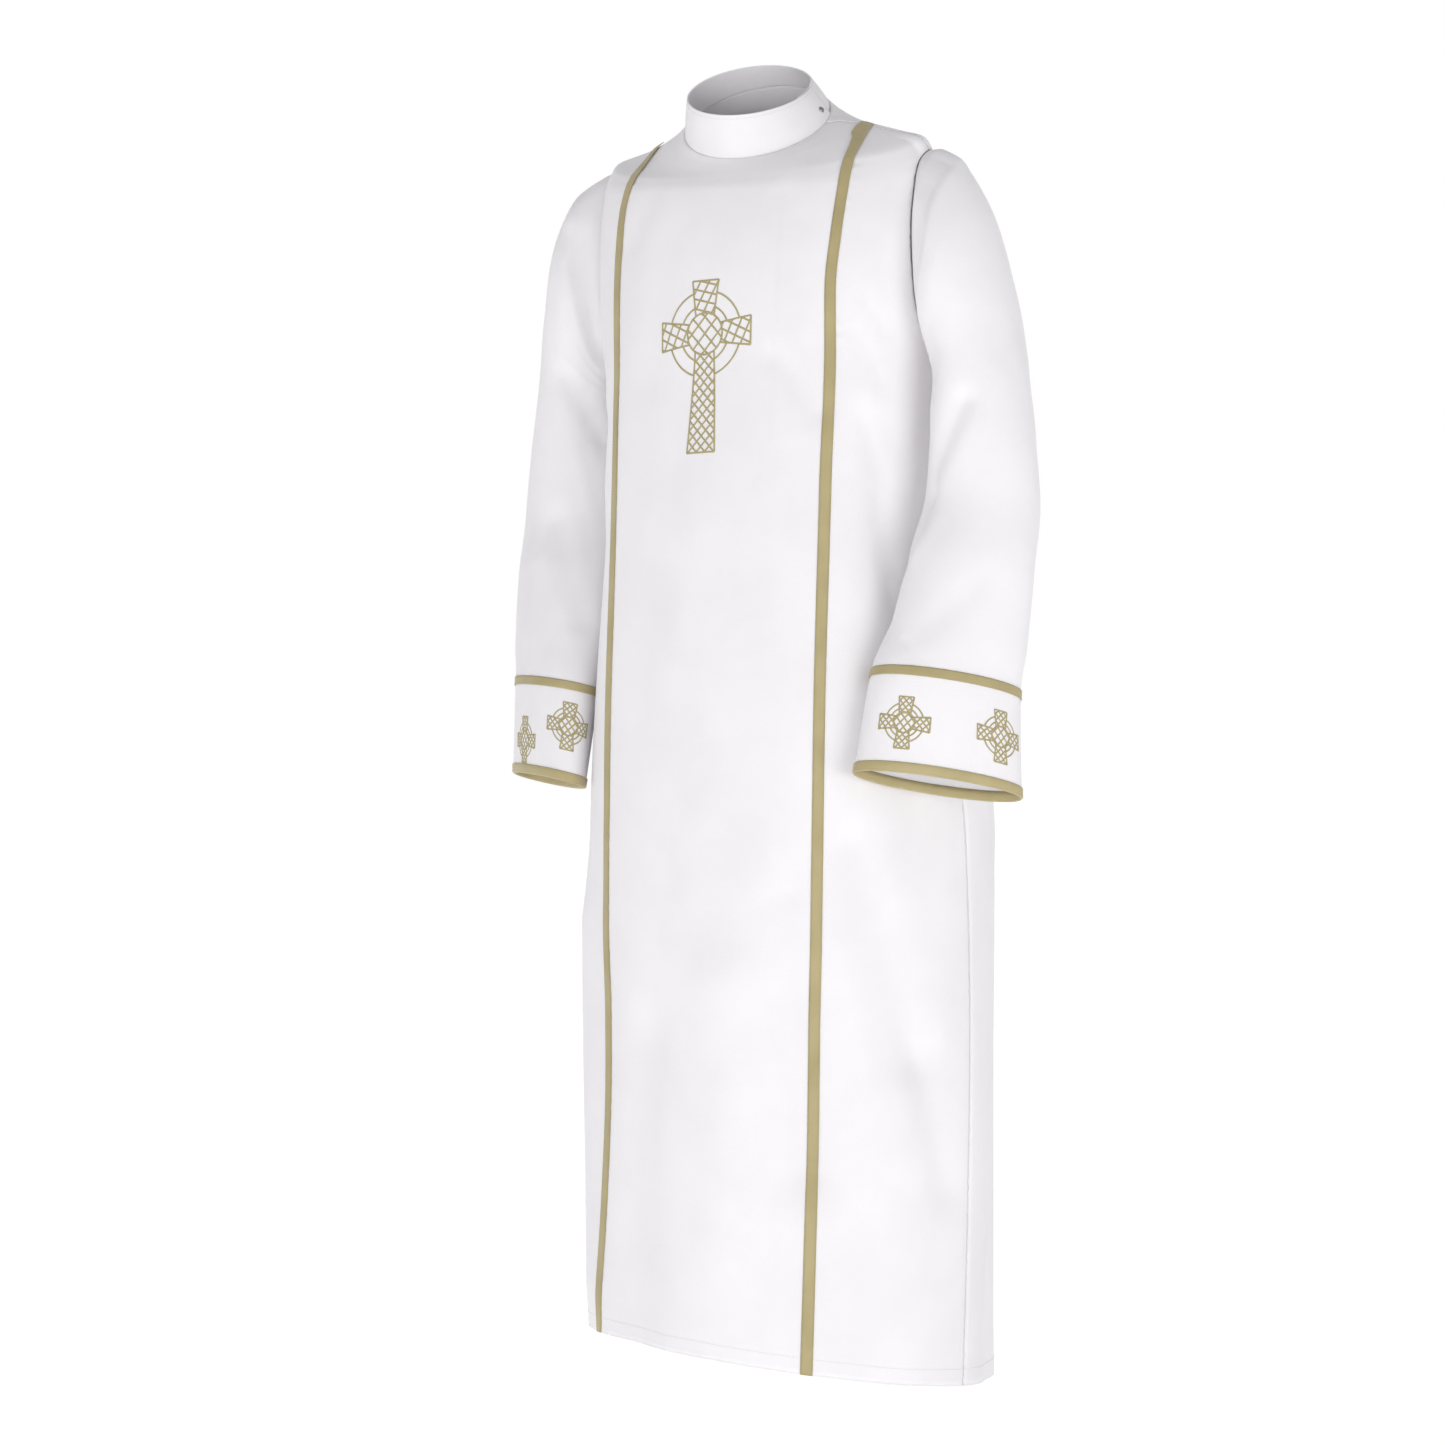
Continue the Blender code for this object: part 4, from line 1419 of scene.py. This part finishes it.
@dataclass
class Sleeve:
    """A set-in sleeve with its cuff, the ribbon over their seam and the binding round the edge.

    Args:
        surface: The sleeve.
        ribbon_width: Width of the cuff's ribbons.
        tuck: How far the first row goes under the body's armhole edge.
    """

    surface: SleeveSurface
    ribbon_width: float = 0.0100
    tuck: float = 0.0017
    pieces: dict[str, bpy.types.Object] = field(default_factory=dict)

    # Row and turn in degrees of the crosses round each cuff
    crosses = {
        Side.LEFT: ((9.56, 121), (9.54, 46), (9.52, 319), (9.50, 245)),
        Side.RIGHT: ((9.48, 171), (9.68, 104), (9.52, 22), (9.50, 280)),
    }

    def _turn(self, across: Array) -> Array:
        """Turn of a column, so that faces look outwards on either side."""
        share = across if self.surface.side is Side.LEFT else 1 - across
        return share * 2 * math.pi

    def _tube(
        self, part: str, start: float, end: float, rows: int, gaps: tuple[float, float], seed: int
    ) -> bpy.types.Object:
        """A stretch of sleeve between two rows of its table.

        Args:
            part: What it is, sleeve or cuff.
            start: Row where it starts.
            end: Row where it ends.
            rows: Steps between them.
            gaps: Seam gap at its start and at its end.
            seed: Seed of its puckers.

        Returns:
            The piece.
        """
        sleeve = self.surface

        def place(across: Array, up: Array) -> tuple[Array, Array]:
            turn = self._turn(across)
            beside_tuck = np.isclose(up, 1 / rows) & (start == 0)
            row = sleeve.rows_between(start, end, np.where(beside_tuck, 0.2 * up, up))
            speed = sleeve.speed(row, turn)[0]
            row = row + (gaps[0] * (up < EDGE) - gaps[1] * (up > 1 - EDGE)) / speed
            length = sleeve.length_to(row)
            distance = np.minimum(length - sleeve.length_to(start), sleeve.length_to(end) - length)
            calm = ease(row / 2) if start == 0 else up > EDGE
            height = seam_relief(distance, 0.2 * np.sin(turn / 2), seed) * calm
            tuck = self.tuck * ((up < EDGE) & (start == 0))
            points = sleeve.over(row, turn, height - tuck)
            points[:, 0] -= sleeve.side.value * tuck * 0.6
            return points, np.stack([turn * SLEEVE_RADIUS, -length], axis=-1)

        node = f"{part}_{sleeve.side.word}"
        return settle(Sheet(f"{node}_cloth", rows, 128, place, closed=True).build(), Finish.CLOTH, node)

    def _wrap(self, part: str, rows: int, place: Place) -> bpy.types.Object:
        """Gold ribbon once round the sleeve."""
        node = f"{part}_{self.surface.side.word}"
        sheet = Sheet(f"{node}_ribbon", rows, 192, place, closed=True, thickness=RIBBON)
        return settle(sheet.build(), Finish.RIBBON, node)

    def _ribbon(self) -> bpy.types.Object:
        """Ribbon over the seam between sleeve and cuff."""
        sleeve = self.surface

        def place(across: Array, up: Array) -> tuple[Array, Array]:
            turn = self._turn(across)
            half = self.ribbon_width / 2 / sleeve.speed(np.full_like(turn, sleeve.cuff_row), turn)[0]
            row = sleeve.cuff_row + (2 * up - 1) * half
            crown = 1 - np.abs(2 * up - 1) ** 6
            points = sleeve.over(row, turn, RIBBON_LIFT + RIBBON + 0.0004 * crown)
            return points, np.stack([up * self.ribbon_width, turn * SLEEVE_RADIUS], axis=-1)

        return self._wrap("cuff_ribbon", 6, place)

    def _binding(self) -> bpy.types.Object:
        """Binding folded over the cuff's edge."""
        sleeve = self.surface
        tall = self.ribbon_width
        outside, inside = 0.0008 + RIBBON, -0.0012 - CLOTH
        # Height above the edge, and height off the cloth
        profile = np.array(
            [(tall, outside - 0.0005), (tall * 0.9, outside), (0.0012, outside), (0.0003, outside - 0.0002)]
            + [(-0.0008, 0.0), (-0.0010, -0.0006), (0.0002, inside + 0.0003), (0.0012, inside), (tall, inside)]
        )

        def place(across: Array, up: Array) -> tuple[Array, Array]:
            turn = self._turn(across)
            knots = np.linspace(0, 1, len(profile))
            rise, out = np.interp(up, knots, profile[:, 0]), np.interp(up, knots, profile[:, 1])
            last = np.full_like(turn, sleeve.last_row)
            row = last - np.maximum(rise, 0) / sleeve.speed(last - STEP, turn)[0]
            points = sleeve.at(row, turn) + sleeve.normal_of(sleeve.at, row - STEP, turn) * out[:, None]
            down = sleeve.at(last, turn) - sleeve.at(last - 0.05, turn)
            down /= np.linalg.norm(down, axis=-1, keepdims=True)
            points += down * np.maximum(-rise, 0)[:, None]
            return points, np.stack([up * tall * 2, turn * SLEEVE_RADIUS], axis=-1)

        return self._wrap("cuff_binding", 16, place)

    def build(self) -> None:
        """Makes the sleeve, the cuff and both ribbons."""
        side, sleeve = self.surface.side, self.surface
        half_gap = SEAM_GAP / 2
        cuff, last = sleeve.cuff_row, sleeve.last_row
        self.pieces["sleeve"] = self._tube("sleeve", 0, cuff, 200, (0, half_gap), 7 + side.value)
        self.pieces["cuff"] = self._tube("cuff", cuff, last, 40, (half_gap, 0), 17 + side.value)
        self.pieces["ribbon"] = self._ribbon()
        self.pieces["binding"] = self._binding()
        for i, place in enumerate(self.crosses[side]):
            cross = plain_cross(f"cuff_cross_{side.word}_{i + 1}")
            self.pieces[f"cross_{i}"] = cross.sew(sleeve, place, (-1, -side.value))
        self.pieces["stitches"] = sew_rows(f"cuff_stitches_{side.word}", self._rows(), Finish.EMBROIDERY)

    def _rows(self) -> list[StitchRow]:
        """Stitches along the edges of both ribbons."""
        sleeve = self.surface
        turns = np.linspace(0, 2 * math.pi, 361)
        rows = []
        # Row, rise above it and height off the cloth of each line of stitches
        cuff, last = sleeve.cuff_row, sleeve.last_row
        for at, rise, height in ((cuff, 0.0039, 0.0012), (cuff, -0.0039, 0.0012), (last, 0.0085, 0.0013)):
            ring = np.full_like(turns, at - 1e-3)
            by_row, by_turn = sleeve.speed(ring, turns)
            lengths = lengths_round(by_turn, turns)

            def path(
                distance: Array, at: float = at, shift: Array = rise / by_row, lengths: Array = lengths
            ) -> tuple[Array, Array]:
                turn = np.interp(distance, lengths, turns)
                return at - np.interp(turn, turns, shift), turn

            rows.append(StitchRow(sleeve, path, lengths[-1], height=height))
        return rows

    def declare(self, hangs_from: Sequence[bpy.types.Object]) -> None:
        """Lists the pieces other than the sleeve and the cuff, and does nothing with them or with what it is given.
        """
        made = self.pieces
        [piece for name, piece in made.items() if name not in ("sleeve", "cuff")]


@dataclass
class Collar:
    """Standing collar with the press stud that closes it.

    Args:
        surface: The collar.
    """

    surface: CollarSurface
    pieces: dict[str, bpy.types.Object] = field(default_factory=dict)

    def build(self) -> None:
        """Makes the collar band and its stitches, and gives the CAD stud its metal."""
        collar = self.surface

        def place(across: Array, up: Array) -> tuple[Array, Array]:
            angle = np.radians(collar.start + (collar.end - collar.start) * across)
            share = up * (1 + collar.tuck) - collar.tuck
            return collar.over(share, angle, 0.0), np.stack([angle * collar.radius, up * collar.tall], axis=-1)

        band = Sheet("collar_band", 36, 300, place, thickness=0.0014).build()
        self.pieces["band"] = settle(band, Finish.CLOTH, "collar")

        def path(distance: Array) -> tuple[Array, Array]:
            start = math.radians(collar.start + collar.stitch_inset)
            return np.full_like(distance, collar.stitch_share), start + distance / collar.stitch_radius

        length = math.radians(collar.end - collar.start - collar.stitch_free) * collar.stitch_radius
        self.pieces["stitches"] = sew_rows("collar_stitches", [StitchRow(collar, path, length)], Finish.SEWING)
        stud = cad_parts["collar_stud"]
        stud.data.materials.clear()
        stud.data.materials.append(Finish.STUD.material)

    def declare(self, front: bpy.types.Object) -> None:
        """Does nothing with the front that it is given."""


@dataclass(frozen=True)
class Studio:
    """Camera, floor and light.

    Args:
        eye: The camera's place.
        look: Its direction.
        lens: Focal length in millimetres on a 36 mm sensor.
        floor_level: Height of the floor.
        aim: What the lights look at.
        lamps: Name, place, size and power of each light.
    """

    eye: tuple[float, float, float] = (1.6454, -2.5081, -0.668)
    look: tuple[float, float, float] = (-0.5592, 0.8290, 0.0)
    lens: float = 67.27
    floor_level: float = -1.62
    aim: tuple[float, float, float] = (0.0, 0.05, -0.6)
    lamps: tuple[tuple[str, tuple[float, float, float], float, float], ...] = (
        ("key", (2.9, -1.3, -0.9), 1.6, 22),
        ("low", (1.0, -3.1, -1.15), 0.9, 20),
        ("side", (-2.8, -2.0, -1.2), 1.8, 12),
        ("back", (-1.0, 3.4, 1.0), 2.5, 20),
    )

    def build(self) -> None:
        """Places the camera, the floor and the lights."""
        scene = bpy.context.scene
        camera = link("camera", bpy.data.cameras.new("camera"))
        camera.location = self.eye
        camera.rotation_euler = Vector(self.look).to_track_quat("-Z", "Y").to_euler()
        camera.data.lens, camera.data.sensor_width = self.lens, 36.0
        scene.camera = camera
        scene.view_settings.view_transform = "Standard"
        self._floor()
        for lamp in self.lamps:
            self._light(*lamp)
        self._sky(scene)

    def _sky(self, scene: bpy.types.Scene) -> None:
        """A studio that is white behind the alb and dimmer in front of it."""
        world = bpy.data.worlds.new("studio")
        world.use_nodes = True
        tree = world.node_tree
        background = tree.nodes["Background"]
        where = tree.nodes.new("ShaderNodeTexCoord")
        facing = tree.nodes.new("ShaderNodeVectorMath")
        facing.operation = "DOT_PRODUCT"
        facing.inputs[1].default_value = self.look
        ramp = tree.nodes.new("ShaderNodeValToRGB")
        stops = ((0.30, (0.46, 0.46, 0.47, 1)), (0.80, (1.0, 1.0, 1.0, 1)))
        NodeKit.set_stops(ramp.color_ramp.elements, stops)
        tree.links.new(where.outputs["Generated"], facing.inputs[0])
        tree.links.new(facing.outputs["Value"], ramp.inputs[0])
        tree.links.new(ramp.outputs["Color"], background.inputs["Color"])
        background.inputs["Strength"].default_value = 1.0
        scene.world = world

    def _floor(self) -> None:
        """Makes the pale floor."""
        mesh = bmesh.new()
        place = Matrix.Translation((0, 0, self.floor_level))
        bmesh.ops.create_circle(mesh, cap_ends=True, segments=96, radius=30, matrix=place)
        floor = object_of("studio_floor", mesh)
        kit = NodeKit("pale_floor")
        far = kit.node("ShaderNodeVectorMath", {"operation": "LENGTH"}, {0: kit.place()})
        distance = kit.output(far, "Value") / 6.0
        white, none = (1.0, 1.0, 1.0, 1), (0.0, 0.0, 0.0, 1)
        near, glow = (0.30, 0.30, 0.30, 1), (0.80, 0.80, 0.80, 1)
        kit.feed("Base Color", kit.ramp(distance, (0.10, near), (0.40, none)))
        kit.feed("Emission Color", kit.ramp(distance, (0.10, glow), (0.40, white)))
        kit.feed("Emission Strength", 1.0)
        kit.feed("Roughness", 0.9)
        floor.data.materials.append(kit.material)

    def _light(self, name: str, place: tuple[float, float, float], size: float, power: float) -> None:
        """Adds a square soft light that looks at the alb."""
        lamp = bpy.data.lights.new(name, "AREA")
        lamp.size, lamp.energy = size, power
        light = link(name, lamp)
        light.location = place
        light.rotation_euler = (Vector(self.aim) - Vector(place)).to_track_quat("-Z", "Y").to_euler()


def main() -> None:
    """Builds every piece, then the studio."""
    logging.basicConfig(level=logging.INFO, format="%(name)s %(message)s")
    body = BodySurface()
    panels = BodyPanels(body)
    panels.build()
    collar = Collar(CollarSurface())
    collar.build()
    sleeves = [Sleeve(SleeveSurface(side, body)) for side in Side]
    for sleeve in sleeves:
        sleeve.build()
        sleeve.declare([panels.pieces["back"], panels.pieces["front"]])
    panels.declare(collar.pieces["band"])
    collar.declare(panels.pieces["front"])
    Studio().build()


if __name__ == "__main__":
    main()
